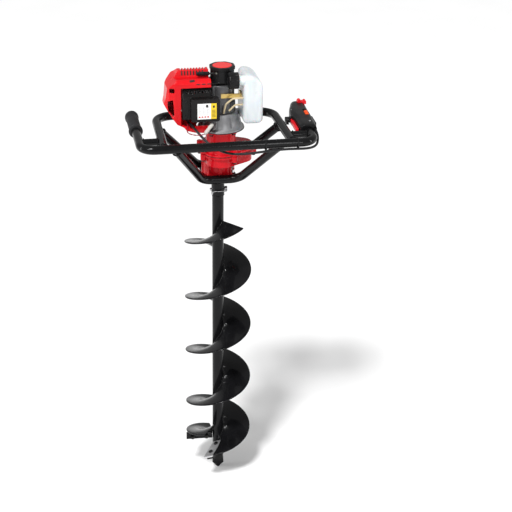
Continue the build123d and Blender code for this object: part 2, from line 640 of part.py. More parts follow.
fuel_tank = tank_form(0) + rod_x(CAP[0] - 8, 70, CAP[1], CAP[2], 14)
fuel_tank = fuel_tank - tank_form(TANK_WALL) - rod_x(CAP[0] - 12, 60, CAP[1], CAP[2], 11.5)
fuel_cap = rod_x(CAP[0] - 28, CAP[0], CAP[1], CAP[2], CAP_R)
fuel_cap = fuel_cap - rod_x(CAP[0] - 9, CAP[0] + 5, CAP[1], CAP[2], 14.3)
for step in range(18):
    notch = Rot(20 * step, 0, 0) * Pos(0, 0, CAP_R) * Rot(0, 90, 0) * Cylinder(1.5, 24)
    fuel_cap = fuel_cap - Pos(CAP[0] - 14, CAP[1], CAP[2]) * notch
bracket = block(-6, 51, -92, -89.5, 1257, 1269) + block(49, TANK_X[0] - 0.1, -92, -60, 1257, 1269)
bracket = bracket + (block(-6, 6, -90, -86, 1257, 1269) - cyl(*E_AXIS, 1250, 1275, 38.05))
hoses = [
    bent_tube(
        [(TANK_X[0] - 0.1, -112, 1262), (24, -112, 1262), (6, -104, 1244), (0, -100, 1216)],
        [14, 12], 2.5, 1.5,
    ),
    bent_tube([(TANK_X[0] - 0.1, -102, 1240), (32, -102, 1240), (16, -98, 1222)], [10], 2.5, 1.5),
]
save("fuel_tank", fuel_tank)
save("fuel_cap", fuel_cap)
save("tank_bracket", bracket)
save("fuel_hoses", *hoses)

# ---------------------------------------------------------------- recoil starter
STARTER_R = 33.5
STARTER_X = 4.0                 # the housing is wider on the side away from the rope
ROPE_Z = 1325.0
ROPE_Y = ENGINE_Y - 24.0
HANDLE_X = (-73.0, -34.0)

base_plate = outline([(x, y, 6) for x, y in STARTER_POSTS], 1296, 1299)
starter = cyl(STARTER_X, ENGINE_Y, 1296, 1333, STARTER_R) + base_plate
octagon = Pos(STARTER_X, ENGINE_Y, 1331) * RegularPolygon(37.5, 8, rotation=22.5)
collar = extrude(octagon, STARTER_TOP_Z - 1331)
starter = starter + (collar & cyl(STARTER_X, ENGINE_Y, 1320, 1350, 36.6))
starter = starter - cyl(STARTER_X, ENGINE_Y, 1337, 1345, 27.2) - cyl(*E_AXIS, 1290, 1331, 28)
starter = starter + cyl(*E_AXIS, 1312, 1333, 5) - rod_x(-60, 0, ROPE_Y, ROPE_Z, 3.2)
for x, y in STARTER_POSTS:
    starter = starter + cyl(x, y, 1290.2, 1298, 5)
badge = turned([(0, 1337.2), (27, 1337.2), (27, 1340.2), (24, 1341.4), (0, 1341.4)], STARTER_X, ENGINE_Y)
pulley = turned(
    [
        (5 + FIT, 1319), (27, 1319), (27, 1321), (22.5, 1323), (22.5, 1327), (27, 1329), (27, 1330.5),
        (5 + FIT, 1330.5),
    ],
    *E_AXIS,
)
recoil_spring = ring(*E_AXIS, 1312.5, 1318.5, 20, 18.6) + ring(*E_AXIS, 1312.5, 1318.5, 16, 14.6)
recoil_spring = recoil_spring + block(14.8, 19, ENGINE_Y - 0.7, ENGINE_Y + 0.7, 1312.5, 1318.5)
rope = rod_x(HANDLE_X[1] - 4, -24, ROPE_Y, ROPE_Z, 1.75)
handle = block(*HANDLE_X, ROPE_Y - 6.5, ROPE_Y + 6.5, ROPE_Z - 5.5, ROPE_Z + 5.5)
handle = fillet(handle.edges().filter_by(Axis.X), 4.5)
handle = fillet(handle.faces().sort_by(Axis.X)[0].edges(), 2.5)
handle = handle - rod_x(HANDLE_X[1] - 4.5, HANDLE_X[1] + 2, ROPE_Y, ROPE_Z, 2.0)
save("starter_housing", starter)
save("starter_badge", badge)
save("starter_pulley", pulley, recoil_spring)
save("starter_rope", rope)
save("pull_handle", handle)

# ---------------------------------------------------------------- hand grips and controls
grip_length = 120.0
GRIP_R = 17.5
run = GRIP_END_Y - BAR_Y
grip_dir = Vector(0, run, GRIP_RISE).normalized()


def grip_plane(side, back_from_end):
    """Plane across a grip tube, measured back from its free end, with Z out of the end."""
    end = Vector(*grip_end(side))
    origin = end - grip_dir * back_from_end
    return Plane(origin=origin, x_dir=(-side, 0, 0), z_dir=grip_dir)


def on_grip(side, back_from_end, shape):
    return grip_plane(side, back_from_end).location * shape


rubber = Pos(0, 0, grip_length / 2) * Cylinder(GRIP_R, grip_length)
rubber = rubber + Pos(0, 0, 4) * Cylinder(GRIP_R + 2.5, 8) + Pos(0, 0, grip_length + 2) * Cylinder(GRIP_R, 8)
rubber = fillet(rubber.edges().filter_by(GeomType.CIRCLE).sort_by(Axis.Z)[-1:], 5)
rubber = rubber - Pos(0, 0, grip_length / 2 - 0.5) * Cylinder(TUBE_R + 0.02, grip_length + 1)
save("left_grip", on_grip(-1, grip_length, rubber))

# The throttle grip is drawn with Z along its tube, X pointing inwards to the engine and Y up.
THROTTLE_BACK = 190.0           # distance from the tube's end to the front end of the grip
THROTTLE_LENGTH = 196.0
TRIGGER_PIVOT = (29.0, 0.0, 88.0)
TRIGGER_R = 2.0
LOCKOUT_PIVOT = (-22.0, 6.0, 92.0)
LOCKOUT_R = 1.6
CABLE_HOLE = (-17.0, 7.0)


def pin_across(point, radius, length):
    """Pin parallel to the grip's Y axis."""
    return Pos(*point) * Rot(90, 0, 0) * Cylinder(radius, length)


def throttle_shell():
    # distance along the tube, inner X, outer X, half height
    sections = [
        (0, 24, -22, 20), (24, 26, -23, 22), (72, 28, -24, 23), (100, 31, -24, 24), (130, 31, -24, 24),
        (165, 23, -25, 24), (THROTTLE_LENGTH, 15, -25, 21),
    ]
    faces = []
    for z, x_in, x_out, half_y in sections:
        faces.append(Pos((x_in + x_out) / 2, 0, z) * RectangleRounded(x_in - x_out, 2 * half_y, 14))
    return loft(faces)


def throttle_grip():
    body = throttle_shell()
    guard_stub = Pos(39, 0, 102) * Box(20, 16, 10) + Pos(44.5, 0, 89) * Box(9, 14, 18)
    body = body + guard_stub
    body = body - Pos(0, 0, 91) * Cylinder(TUBE_R + 0.02, 200)
    body = body - Pos(29.5, 0, 49) * Box(32, 10.6, 90) - pin_across(TRIGGER_PIVOT, 7, 10.6)
    body = body - Pos(-22, 6, 66) * Box(14, 10.6, 64)
    body = body - Pos(-15, 19, 181) * Box(27.6, 12, 17)
    body = body - Pos(-10, 22, 98) * Box(10.4, 9, 42)
    body = body - Pos(*CABLE_HOLE, 3) * Cylinder(4.6, 14)
    body = body + pin_across(TRIGGER_PIVOT, TRIGGER_R, 14) + pin_across(LOCKOUT_PIVOT, LOCKOUT_R, 13)
    return body


def throttle_trigger():
    blade = Pos(31.5, 0, 46) * Box(8, 9.6, 76)
    blade = fillet(blade.edges().filter_by(Axis.Y).sort_by(Axis.Z)[:2], 3)
    blade = blade + pin_across(TRIGGER_PIVOT, 6, 9.6)
    return blade - pin_across(TRIGGER_PIVOT, TRIGGER_R + FIT, 20)


def lockout_lever():
    lever = Pos(-24.5, 6, 64) * Box(7, 9.6, 56) + pin_across(LOCKOUT_PIVOT, 4, 9.6)
    return lever - pin_across(LOCKOUT_PIVOT, LOCKOUT_R + FIT, 20)


def lock_button():
    button = Pos(-15, 22.5, 181) * Box(26, 8, 16)
    return button + Pos(-8, 26.5, 181) * Cylinder(5.5, 16) + Pos(-24, 25.5, 181) * Cylinder(4, 16)


def stop_switch():
    slider = Pos(-10, 21.5, 90) * Box(9.6, 6, 24)
    return slider + Pos(-10, 25, 84) * Box(8, 5, 5) + Pos(-10, 25, 96) * Box(8, 5, 5)


halves = throttle_grip()
upper_half = halves & Pos(0, 50.05, 80) * Box(200, 100, 300)
lower_half = halves & Pos(0, -50.05, 80) * Box(200, 100, 300)
throttle_parts = []
for half in (upper_half, lower_half):
    throttle_parts.append(on_grip(1, THROTTLE_BACK, half.solids().sort_by(SortBy.VOLUME)[-1]))
save("throttle_grip", *throttle_parts)
save("throttle_trigger", on_grip(1, THROTTLE_BACK, throttle_trigger()))
save("lockout_lever", on_grip(1, THROTTLE_BACK, lockout_lever()))
save("lock_button", on_grip(1, THROTTLE_BACK, lock_button()))
save("stop_switch", on_grip(1, THROTTLE_BACK, stop_switch()))

# ---------------------------------------------------------------- throttle cable
CABLE_R = 3.5
CABLE_POINTS = [
    (257, -114, 1164),
    (259, -138, 1158),
    (256, -163, 1147),
    (245, -191, 1140),
    (218, -210, 1140),
    (166, -212, 1143),
    (116, -211, 1141),
    (78, -208, 1136),
    (38, -204, 1132),
    (0, -194, 1131),
    (-34, -174, 1140),
    (-62, -150, 1160),
    (-84, -128, 1184),
    (-94, -96, 1190),
    (-97, -52, 1186),
    (-98, -8, 1188),
    (-96, 20, 1196),
    (-94.5, 28, 1212),
    (-94, 29, 1233.2),
]


def arc_radii(points):
    """Largest arcs that two neighbouring runs leave room for."""
    radii = []
    for before, corner, after in zip(points, points[1:], points[2:]):
        run_in = Vector(*corner) - Vector(*before)
        run_out = Vector(*after) - Vector(*corner)
        turn = math.radians(run_in.get_angle(run_out))
        radii.append(0.45 * min(run_in.length, run_out.length) / math.tan(turn / 2))
    return radii


cable_radii = arc_radii(CABLE_POINTS)
print("cable arc radii", [round(r) for r in cable_radii])
cable = bent_tube(CABLE_POINTS, cable_radii, CABLE_R)
cable_path = FilletPolyline(*CABLE_POINTS, radius=cable_radii)
print("cable length", round(cable_path.length, 1), "volume ratio",
      round(cable.volume / (math.pi * CABLE_R**2 * cable_path.length), 4))
save("throttle_cable", cable)

LEADS_POINTS = [
    (-59, -135, 1171), (-64, -152, 1175), (-88, -156, 1176), (-109, -144, 1180), (-104, -124, 1190),
    (-102, -112.2, 1194),
]
leads = bent_tube(LEADS_POINTS, arc_radii(LEADS_POINTS), 1.4)
connector = bar_between((-34, -121, 1195), (-58, -134, 1170), 5.5)
save("stop_leads", leads, connector)

# ---------------------------------------------------------------- bit
tube = turned(
    [
        (BIT_TUBE_R - 4, 50), (BIT_TUBE_R, 50), (BIT_TUBE_R, COLLAR_BOTTOM_Z), (COLLAR_R, COLLAR_BOTTOM_Z + 1),
        (COLLAR_R, COLLAR_TOP_Z - 1), (COLLAR_R - 1, COLLAR_TOP_Z), (SHAFT_R + FIT, COLLAR_TOP_Z),
        (SHAFT_R + FIT, 924), (6, 924), (6, 915), (BIT_TUBE_R - 4, 912),
    ]
)
tube = tube - rod_x(-30, 30, 0, PIN_Z, PIN_R + FIT)
CLIP_X = COLLAR_R + 4.0
CLIP_Y = -COLLAR_R - 4.5
pin = rod_x(-COLLAR_R - 5, COLLAR_R + 1, 0, PIN_Z, PIN_R) + rod_x(COLLAR_R + 0.6, COLLAR_R + 8, 0, PIN_Z, 7)
pin = pin - rod_y(CLIP_X, -10, 10, PIN_Z, 1.3)
clip = bent_tube(
    [(CLIP_X, 9, PIN_Z), (CLIP_X, CLIP_Y, PIN_Z), (-18, CLIP_Y, PIN_Z + 1), (-21, CLIP_Y, PIN_Z - 9)],
    [4, 4], 1.25
)
save("auger_tube", tube)
save("coupling_pin", pin)
save("pin_clip", clip)

# The main cutter lies in line with the lower end of the main flight, which is cut back to its
# rear edge.  It is bolted to a holder below it.  The side cutter is bolted to an upright fin
# under the second flight.
BLADE_SLOPE = 25.0
BLADE_TWIST = 6.0
BLADE_FRONT = -3.0
BLADE_REAR = 28.0
BLADE_BOLT_Y = 15.0
BLADE_LENGTH = 82.0
BLADE_T = 5.0
HOLDER_T = 8.0
BLADE_BOLT_R = 4.0
BOLT_SPREAD = 22.0
BLADE_MID_R = 58.7
SIDE_A = 178.0
SIDE_BLADE_Z = (104.0, 124.0)
side_z = LOWER_FLIGHT_Z + FLIGHT_PITCH * (SIDE_A - LOWER_FLIGHT_A) / 360


def on_slope(shape):
    """From the main cutter's own frame (X radial, Y up the slope, Z across its face) to the bit."""
    tilt = Rot(BLADE_SLOPE, 0, 0) * Rot(0, BLADE_TWIST, 0)
    return Pos(0, 0, FLIGHT_START_Z - 2) * Rot(0, 0, FLIGHT_START_A) * Pos(BLADE_MID_R, 0, 0) * tilt * shape


def on_fin(shape):
    """From the side cutter's own frame (X radial, Y against the cutting direction) to the bit."""
    return Rot(0, 0, SIDE_A) * Pos(BLADE_MID_R, 0, sum(SIDE_BLADE_Z) / 2) * shape


def bolt_pair(y, z0, z1, across_flats):
    """Two bolts with nuts, along Z, through whatever lies between z0 and z1."""
    bolts = []
    for x in (-BOLT_SPREAD, BOLT_SPREAD):
        bolt = hexagon(x, y, z1 + 0.05, z1 + 4.5, across_flats)
        bolt = bolt + hexagon(x, y, z0 - 6, z0 - 0.05, across_flats)
        bolts.append(bolt + cyl(x, y, z0 - 8, z1 + 1, BLADE_BOLT_R))
    return bolts


def bolt_holes(y):
    return [cyl(x, y, -40, 40, BLADE_BOLT_R + FIT) for x in (-BOLT_SPREAD, BOLT_SPREAD)]


flight_solids = []
turns_left = FLIGHT_TURNS
z_now = FLIGHT_START_Z
angle_now = FLIGHT_START_A
while turns_left > 0.01:
    part_turn = 1.0 if turns_left > 1.01 else turns_left
    sweep_deg = 360 * part_turn - 0.05
    flight_solids.append(
        helix_plate(BIT_TUBE_R + WELD_GAP, FLIGHT_R, z_now, angle_now, sweep_deg, FLIGHT_T)
    )
    z_now += FLIGHT_PITCH * part_turn
    angle_now += 360 * part_turn
    turns_left -= part_turn
blade_seat = on_slope(block(-BLADE_LENGTH, BLADE_LENGTH, -40, BLADE_REAR + 0.2, -40, 40))
flight_solids[0] = (flight_solids[0] - blade_seat).solids().sort_by(SortBy.VOLUME)[-1]
save("main_flight", *flight_solids)
lower_sweep = FLIGHT_START_A - LOWER_FLIGHT_A
lower_flight = helix_plate(
    BIT_TUBE_R + WELD_GAP, FLIGHT_R, LOWER_FLIGHT_Z, LOWER_FLIGHT_A, lower_sweep, FLIGHT_T
)
save("lower_flight", lower_flight)

half = BLADE_LENGTH / 2
main_holder = block(-half, half, 4, BLADE_REAR - 3, -HOLDER_T - 0.05, -0.05) - bolt_holes(BLADE_BOLT_Y)
main_blade = block(-half, half + 4, BLADE_FRONT, BLADE_REAR, 0, BLADE_T)
main_blade = main_blade - Pos(0, BLADE_FRONT - 2, -3) * Rot(30, 0, 0) * Box(100, 12, 6)
main_blade = main_blade - bolt_holes(BLADE_BOLT_Y)
fin_top = side_z - FLIGHT_T / 2 - 7.5 - sum(SIDE_BLADE_Z) / 2
side_holder = block(-half + 0.5, half, -4, 4, -6, fin_top)
side_blade = block(-half + 3, half, -9.1, -4.1, -10, 8)
side_blade = side_blade - Pos(0, -4, -12) * Rot(-30, 0, 0) * Box(100, 6, 12)
fin_bolts = [Rot(90, 0, 0) * bolt for bolt in bolt_pair(1, -4, 9.1, 11)]
fin_holes = [Rot(90, 0, 0) * hole for hole in bolt_holes(1)]
save("blade_holders", on_slope(main_holder), on_fin(side_holder - fin_holes))
save("cutter_blades", on_slope(main_blade), on_fin(side_blade - fin_holes))
main_bolts = [on_slope(bolt) for bolt in bolt_pair(BLADE_BOLT_Y, -HOLDER_T - 0.05, BLADE_T, 12)]
save("blade_bolts", *main_bolts, *[on_fin(bolt) for bolt in fin_bolts])

POINT_TOP_Z = 50.0
point = cyl(0, 0, 34, POINT_TOP_Z - 0.1, 16.5) + cyl(0, 0, POINT_TOP_Z - 0.2, 70, 12.9)
spade = prism_xz([(-16.5, 36), (16.5, 36), (17.5, 18), (0, 0), (-17.5, 18)], -7, 7)
spade = Rot(0, 0, -9) * spade
point = point + spade
save("pilot_point", point)
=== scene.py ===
import json
import math

import bmesh
import bpy
from mathutils import Matrix, Vector, noise


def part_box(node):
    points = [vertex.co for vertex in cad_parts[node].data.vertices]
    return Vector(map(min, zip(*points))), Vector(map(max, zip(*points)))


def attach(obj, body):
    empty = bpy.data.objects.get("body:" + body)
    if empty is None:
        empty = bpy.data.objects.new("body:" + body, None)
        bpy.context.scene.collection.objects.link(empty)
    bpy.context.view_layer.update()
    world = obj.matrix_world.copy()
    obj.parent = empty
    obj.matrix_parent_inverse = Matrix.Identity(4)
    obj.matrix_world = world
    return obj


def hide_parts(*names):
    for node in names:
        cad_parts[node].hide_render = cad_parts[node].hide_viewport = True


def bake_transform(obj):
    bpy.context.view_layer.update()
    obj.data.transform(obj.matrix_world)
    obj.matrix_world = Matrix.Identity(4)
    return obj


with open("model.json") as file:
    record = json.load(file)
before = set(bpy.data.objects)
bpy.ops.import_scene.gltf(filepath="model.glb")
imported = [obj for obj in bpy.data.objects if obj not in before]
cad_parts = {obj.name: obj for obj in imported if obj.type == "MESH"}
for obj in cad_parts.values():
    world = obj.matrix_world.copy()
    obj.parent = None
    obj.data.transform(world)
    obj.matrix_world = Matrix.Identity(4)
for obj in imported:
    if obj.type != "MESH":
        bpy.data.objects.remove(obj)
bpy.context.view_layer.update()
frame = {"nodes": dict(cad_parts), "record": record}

CRANK = Vector((0.0, -0.05, 0.0))           # crankshaft axis, where it crosses z = 0
BIT_TUBE_R = 0.017
FLIGHT_R = 0.1
FLIGHT_PITCH = 0.181
FLIGHT_Z = 0.094                            # where the main flight starts
FLIGHT_ANGLE = 237.0
FLIGHT_TURN = 360 * 4.2
LOWER_Z = 0.098                             # where the short second flight starts
LOWER_ANGLE = 97.0
LOWER_TURN = 140.0
TUBE_R = 0.0125                             # frame tubes
BRACE_R = 0.010
BAR_Y = -0.198                              # axis of the front bar
BAR_Z = 1.155
CABLE_R = 0.0034


# ------------------------------------------------------------------ camera, floor, light
def aim(thing, position, target):
    thing.location = position
    thing.rotation_euler = (Vector(target) - Vector(position)).to_track_quat("-Z", "Y").to_euler()


def make_camera():
    """Long lens, a little above the object and turned 9 degrees to its left."""
    azimuth, elevation, distance = math.radians(-9.0), math.radians(24.64), 4.169
    target = Vector((0.0, 0.0, 0.7362))
    away = Vector((
        math.sin(azimuth) * math.cos(elevation),
        -math.cos(azimuth) * math.cos(elevation),
        math.sin(elevation),
    ))
    data = bpy.data.cameras.new("camera")
    data.lens = 98.44
    data.sensor_width = 36.0
    data.shift_x = 0.0744
    data.clip_end = 60.0
    camera = bpy.data.objects.new("camera", data)
    bpy.context.collection.objects.link(camera)
    aim(camera, target + away * distance, target)
    bpy.context.scene.camera = camera


def soft_light(name, position, target, size, power):
    data = bpy.data.lights.new(name, "AREA")
    data.shape = "RECTANGLE"
    data.size, data.size_y = size
    data.energy = power
    light = bpy.data.objects.new(name, data)
    bpy.context.collection.objects.link(light)
    aim(light, position, target)


def make_studio():
    """White floor and surroundings, a soft sun from the front left and four softboxes."""
    middle = (0.0, 0.0, 0.8)
    sun = bpy.data.lights.new("sun", "SUN")
    sun.energy = 2.7
    sun.angle = math.radians(9.0)
    sun_light = bpy.data.objects.new("sun", sun)
    bpy.context.collection.objects.link(sun_light)
    aim(sun_light, (-1.2, -2.0, 3.4), (0.0, 0.0, 0.0))
    soft_light("key", (-2.4, -2.6, 3.4), middle, (0.8, 0.8), 48)
    soft_light("front_strip", (0.9, -4.0, 2.6), middle, (0.3, 2.0), 16)
    soft_light("right_strip", (3.0, -1.2, 1.7), middle, (0.3, 2.4), 26)
    soft_light("left_strip", (-3.0, 0.2, 1.5), middle, (0.3, 2.4), 22)
    world = bpy.data.worlds.new("studio")
    world.use_nodes = True
    background = world.node_tree.nodes["Background"]
    background.inputs["Color"].default_value = (1.0, 1.0, 1.0, 1.0)
    background.inputs["Strength"].default_value = 0.42
    scene = bpy.context.scene
    scene.world = world
    scene.view_settings.view_transform = "Standard"
    mesh = bpy.data.meshes.new("floor")
    mesh.from_pydata([(-30, -30, 0), (30, -30, 0), (30, 30, 0), (-30, 30, 0)], [], [(0, 1, 2, 3)])
    floor = bpy.data.objects.new("floor", mesh)
    bpy.context.collection.objects.link(floor)
    floor.data.materials.append(finish_of("floor"))


# ------------------------------------------------------------------ materials
class Nodes:
    """Small helper that builds one procedural material."""

    def __init__(self, name):
        self.material = bpy.data.materials.new(name)
        self.material.use_nodes = True
        self.tree = self.material.node_tree
        self.shader = self.tree.nodes["Principled BSDF"]
        self.place = self.add("ShaderNodeTexCoord").outputs["Object"]
        self.normal = None

    def add(self, kind, **values):
        node = self.tree.nodes.new(kind)
        for key, value in values.items():
            setattr(node, key, value)
        return node

    def join(self, a, b):
        self.tree.links.new(a, b)

    def stretched(self, scale):
        """Object coordinates scaled differently along X, Y and Z."""
        mapping = self.add("ShaderNodeMapping")
        mapping.inputs["Scale"].default_value = scale
        self.join(self.place, mapping.inputs["Vector"])
        return mapping.outputs["Vector"]

    def noise(self, scale, detail=3.0, where=None, roughness=0.55):
        node = self.add("ShaderNodeTexNoise")
        node.inputs["Scale"].default_value = scale
        node.inputs["Detail"].default_value = detail
        node.inputs["Roughness"].default_value = roughness
        self.join(where or self.place, node.inputs["Vector"])
        return node.outputs["Fac"]

    def ramp(self, value, low, high, from_colour, to_colour):
        node = self.add("ShaderNodeValToRGB")
        node.color_ramp.elements[0].position = low
        node.color_ramp.elements[1].position = high
        node.color_ramp.elements[0].color = (*from_colour, 1)
        node.color_ramp.elements[1].color = (*to_colour, 1)
        self.join(value, node.inputs["Fac"])
        return node.outputs["Color"]

    def span(self, value, low, high, to_low, to_high):
        node = self.add("ShaderNodeMapRange")
        node.inputs["From Min"].default_value = low
        node.inputs["From Max"].default_value = high
        node.inputs["To Min"].default_value = to_low
        node.inputs["To Max"].default_value = to_high
        self.join(value, node.inputs["Value"])
        return node.outputs["Result"]

    def mix(self, factor, a, b):
        node = self.add("ShaderNodeMix", data_type="RGBA")
        self.join(factor, node.inputs["Factor"])
        for socket, value in ((node.inputs["A"], a), (node.inputs["B"], b)):
            if isinstance(value, tuple):
                socket.default_value = (*value, 1)
            else:
                self.join(value, socket)
        return node.outputs["Result"]

    def bump(self, height, distance, strength=1.0):
        node = self.add("ShaderNodeBump")
        node.inputs["Distance"].default_value = distance
        node.inputs["Strength"].default_value = strength
        self.join(height, node.inputs["Height"])
        if self.normal is not None:
            self.join(self.normal, node.inputs["Normal"])
        self.normal = node.outputs["Normal"]
        self.join(self.normal, self.shader.inputs["Normal"])

    def rounded_edges(self, radius):
        node = self.add("ShaderNodeBevel", samples=4)
        node.inputs["Radius"].default_value = radius
        self.normal = node.outputs["Normal"]
        self.join(self.normal, self.shader.inputs["Normal"])

    def set(self, **values):
        for key, value in values.items():
            self.shader.inputs[key.replace("_", " ")].default_value = value


EDGE_ROUND = 0.0006
METAL_EDGE_ROUND = 0.0004


def paint(name, colour, dark, grain, grain_depth, roughness):
    """Enamel or powder coat: orange-peel, slightly uneven colour and dull patches."""
    m = Nodes(name)
    m.rounded_edges(EDGE_ROUND)
    patches = m.noise(14.0, 4.0)
    base = m.mix(m.span(patches, 0.35, 0.7, 0.0, 1.0), colour, dark)
    m.join(base, m.shader.inputs["Base Color"])
    m.join(m.span(m.noise(40.0, 5.0), 0.3, 0.75, roughness[0], roughness[1]), m.shader.inputs["Roughness"])
    m.bump(m.noise(grain, 2.0), grain_depth)
    m.set(Coat_Weight=0.16, Coat_Roughness=0.05, Specular_IOR_Level=0.1)
    return m


def moulded(name, colour, dark, roughness, grain=900.0, depth=0.00003):
    """Moulded plastic or rubber with a fine spark-eroded grain."""
    m = Nodes(name)
    m.rounded_edges(EDGE_ROUND)
    base = m.mix(m.span(m.noise(9.0, 3.0), 0.3, 0.7, 0.0, 1.0), colour, dark)
    m.join(base, m.shader.inputs["Base Color"])
    m.join(m.span(m.noise(60.0, 4.0), 0.3, 0.7, roughness[0], roughness[1]), m.shader.inputs["Roughness"])
    m.bump(m.noise(grain, 2.0), depth)
    m.set(Specular_IOR_Level=0.18)
    return m


def metal(name, colour, dark, roughness, grain=(500.0, 500.0, 500.0), depth=0.00002, metallic=1.0):
    """Bare or plated metal with directional or granular texture and faint stains."""
    m = Nodes(name)
    m.rounded_edges(METAL_EDGE_ROUND)
    stains = m.span(m.noise(26.0, 6.0), 0.38, 0.72, 0.0, 1.0)
    m.join(m.mix(stains, colour, dark), m.shader.inputs["Base Color"])
    grains = m.noise(1.0, 3.0, m.stretched(grain))
    m.join(m.span(grains, 0.3, 0.7, roughness[0], roughness[1]), m.shader.inputs["Roughness"])
    m.bump(grains, depth)
    m.set(Metallic=metallic)
    return m


def make_bit_black():
    """Gloss black paint, scratched round and round by soil."""
    m = paint("bit_black", (0.004, 0.004, 0.0045), (0.008, 0.008, 0.009), 260.0, 0.00005, (0.14, 0.28))
    scratch = m.span(m.noise(1.0, 2.0, m.stretched((60.0, 60.0, 1400.0))), 0.60, 0.72, 0.0, 1.0)
    m.bump(scratch, 0.00002, 0.5)
    return m


def make_tank_plastic():
    """Milky polyethylene: light goes in and scatters, with painted highlights and painted shade in pale and
    grey vertical streaks.
    """
    m = Nodes("tank_plastic")
    painted_light_streaks = m.noise(1.0, 3.0, m.stretched((26.0, 26.0, 6.0)))
    # Vertical streaks lighter and darker in the base colour: painted highlights and painted shade.
    base = m.ramp(painted_light_streaks, 0.3, 0.75, (0.56, 0.58, 0.60), (0.76, 0.78, 0.80))
    m.join(base, m.shader.inputs["Base Color"])
    m.join(m.span(m.noise(50.0), 0.3, 0.7, 0.26, 0.4), m.shader.inputs["Roughness"])
    m.bump(m.noise(320.0, 2.0), 0.00004)
    m.set(Subsurface_Weight=0.25, Subsurface_Scale=0.012, Coat_Weight=0.3, Coat_Roughness=0.12)
    return m


def make_floor():
    """Matt white card, a little uneven."""
    m = Nodes("floor")
    base = m.ramp(m.noise(3.0, 2.0), 0.3, 0.7, (0.86, 0.86, 0.86), (0.88, 0.88, 0.88))
    m.join(base, m.shader.inputs["Base Color"])
    m.set(Roughness=0.9, Specular_IOR_Level=0.1)
    return m


def make_card():
    """Glossy printed card of a generic decal."""
    m = Nodes("decal_white")
    base = m.ramp(m.noise(60.0), 0.3, 0.7, (0.84, 0.84, 0.83), (0.9, 0.9, 0.89))
    m.join(base, m.shader.inputs["Base Color"])
    m.set(Roughness=0.3)
    return m


# colour, darker colour, grain, depth of the grain, roughness
PAINTS = {
    "frame_black": ((0.004, 0.004, 0.0045), (0.007, 0.007, 0.0075), 420.0, 0.00004, (0.14, 0.24)),
    "weld_black": ((0.005, 0.005, 0.0055), (0.009, 0.009, 0.009), 900.0, 0.00012, (0.2, 0.34)),
    "housing_red": ((0.56, 0.005, 0.012), (0.48, 0.004, 0.010), 420.0, 0.00004, (0.2, 0.34)),
    "guard_black": ((0.005, 0.005, 0.005), (0.010, 0.009, 0.009), 1000.0, 0.00005, (0.2, 0.34)),
}

# colour, darker colour, roughness, then grain and its depth where they are not the usual ones
MOULDINGS = {
    "grip_rubber": ((0.014, 0.014, 0.015), (0.022, 0.022, 0.024), (0.5, 0.66), 700.0, 0.00008),
    "cover_red": ((0.66, 0.007, 0.012), (0.56, 0.005, 0.009), (0.16, 0.28)),
    "control_red": ((0.78, 0.012, 0.02), (0.6, 0.008, 0.014), (0.26, 0.4)),
    "badge_red": ((0.78, 0.06, 0.055), (0.7, 0.04, 0.04), (0.3, 0.42), 1200.0, 0.00002),
    "switch_orange": ((0.86, 0.12, 0.03), (0.7, 0.08, 0.02), (0.3, 0.42)),
    "black_plastic": ((0.005, 0.005, 0.0055), (0.009, 0.009, 0.0095), (0.26, 0.4)),
    "plug_boot": ((0.012, 0.012, 0.012), (0.02, 0.02, 0.02), (0.45, 0.6)),
    "cable_black": ((0.009, 0.009, 0.010), (0.015, 0.015, 0.016), (0.3, 0.42)),
    "rope_black": ((0.03, 0.03, 0.03), (0.05, 0.05, 0.05), (0.8, 0.9), 1500.0, 0.0002),
    "seal_rubber": ((0.02, 0.02, 0.02), (0.03, 0.03, 0.03), (0.6, 0.7)),
    "filter_foam": ((0.08, 0.08, 0.08), (0.14, 0.14, 0.13), (0.9, 1.0), 600.0, 0.0004),
    "pulley_plastic": ((0.7, 0.7, 0.64), (0.62, 0.62, 0.56), (0.4, 0.5)),
    "hose_amber": ((0.60, 0.50, 0.32), (0.48, 0.39, 0.24), (0.25, 0.35)),
    "lead_red": ((0.30, 0.012, 0.03), (0.2, 0.01, 0.02), (0.35, 0.45)),
    "lead_white": ((0.62, 0.6, 0.56), (0.5, 0.48, 0.44), (0.4, 0.5)),
    "decal_yellow": ((0.80, 0.56, 0.03), (0.74, 0.5, 0.03), (0.3, 0.36)),
    "decal_grey": ((0.42, 0.42, 0.44), (0.36, 0.36, 0.38), (0.3, 0.4)),
    "decal_red": ((0.62, 0.05, 0.05), (0.5, 0.04, 0.04), (0.3, 0.4)),
    "decal_black": ((0.02, 0.02, 0.02), (0.03, 0.03, 0.03), (0.3, 0.4)),
}

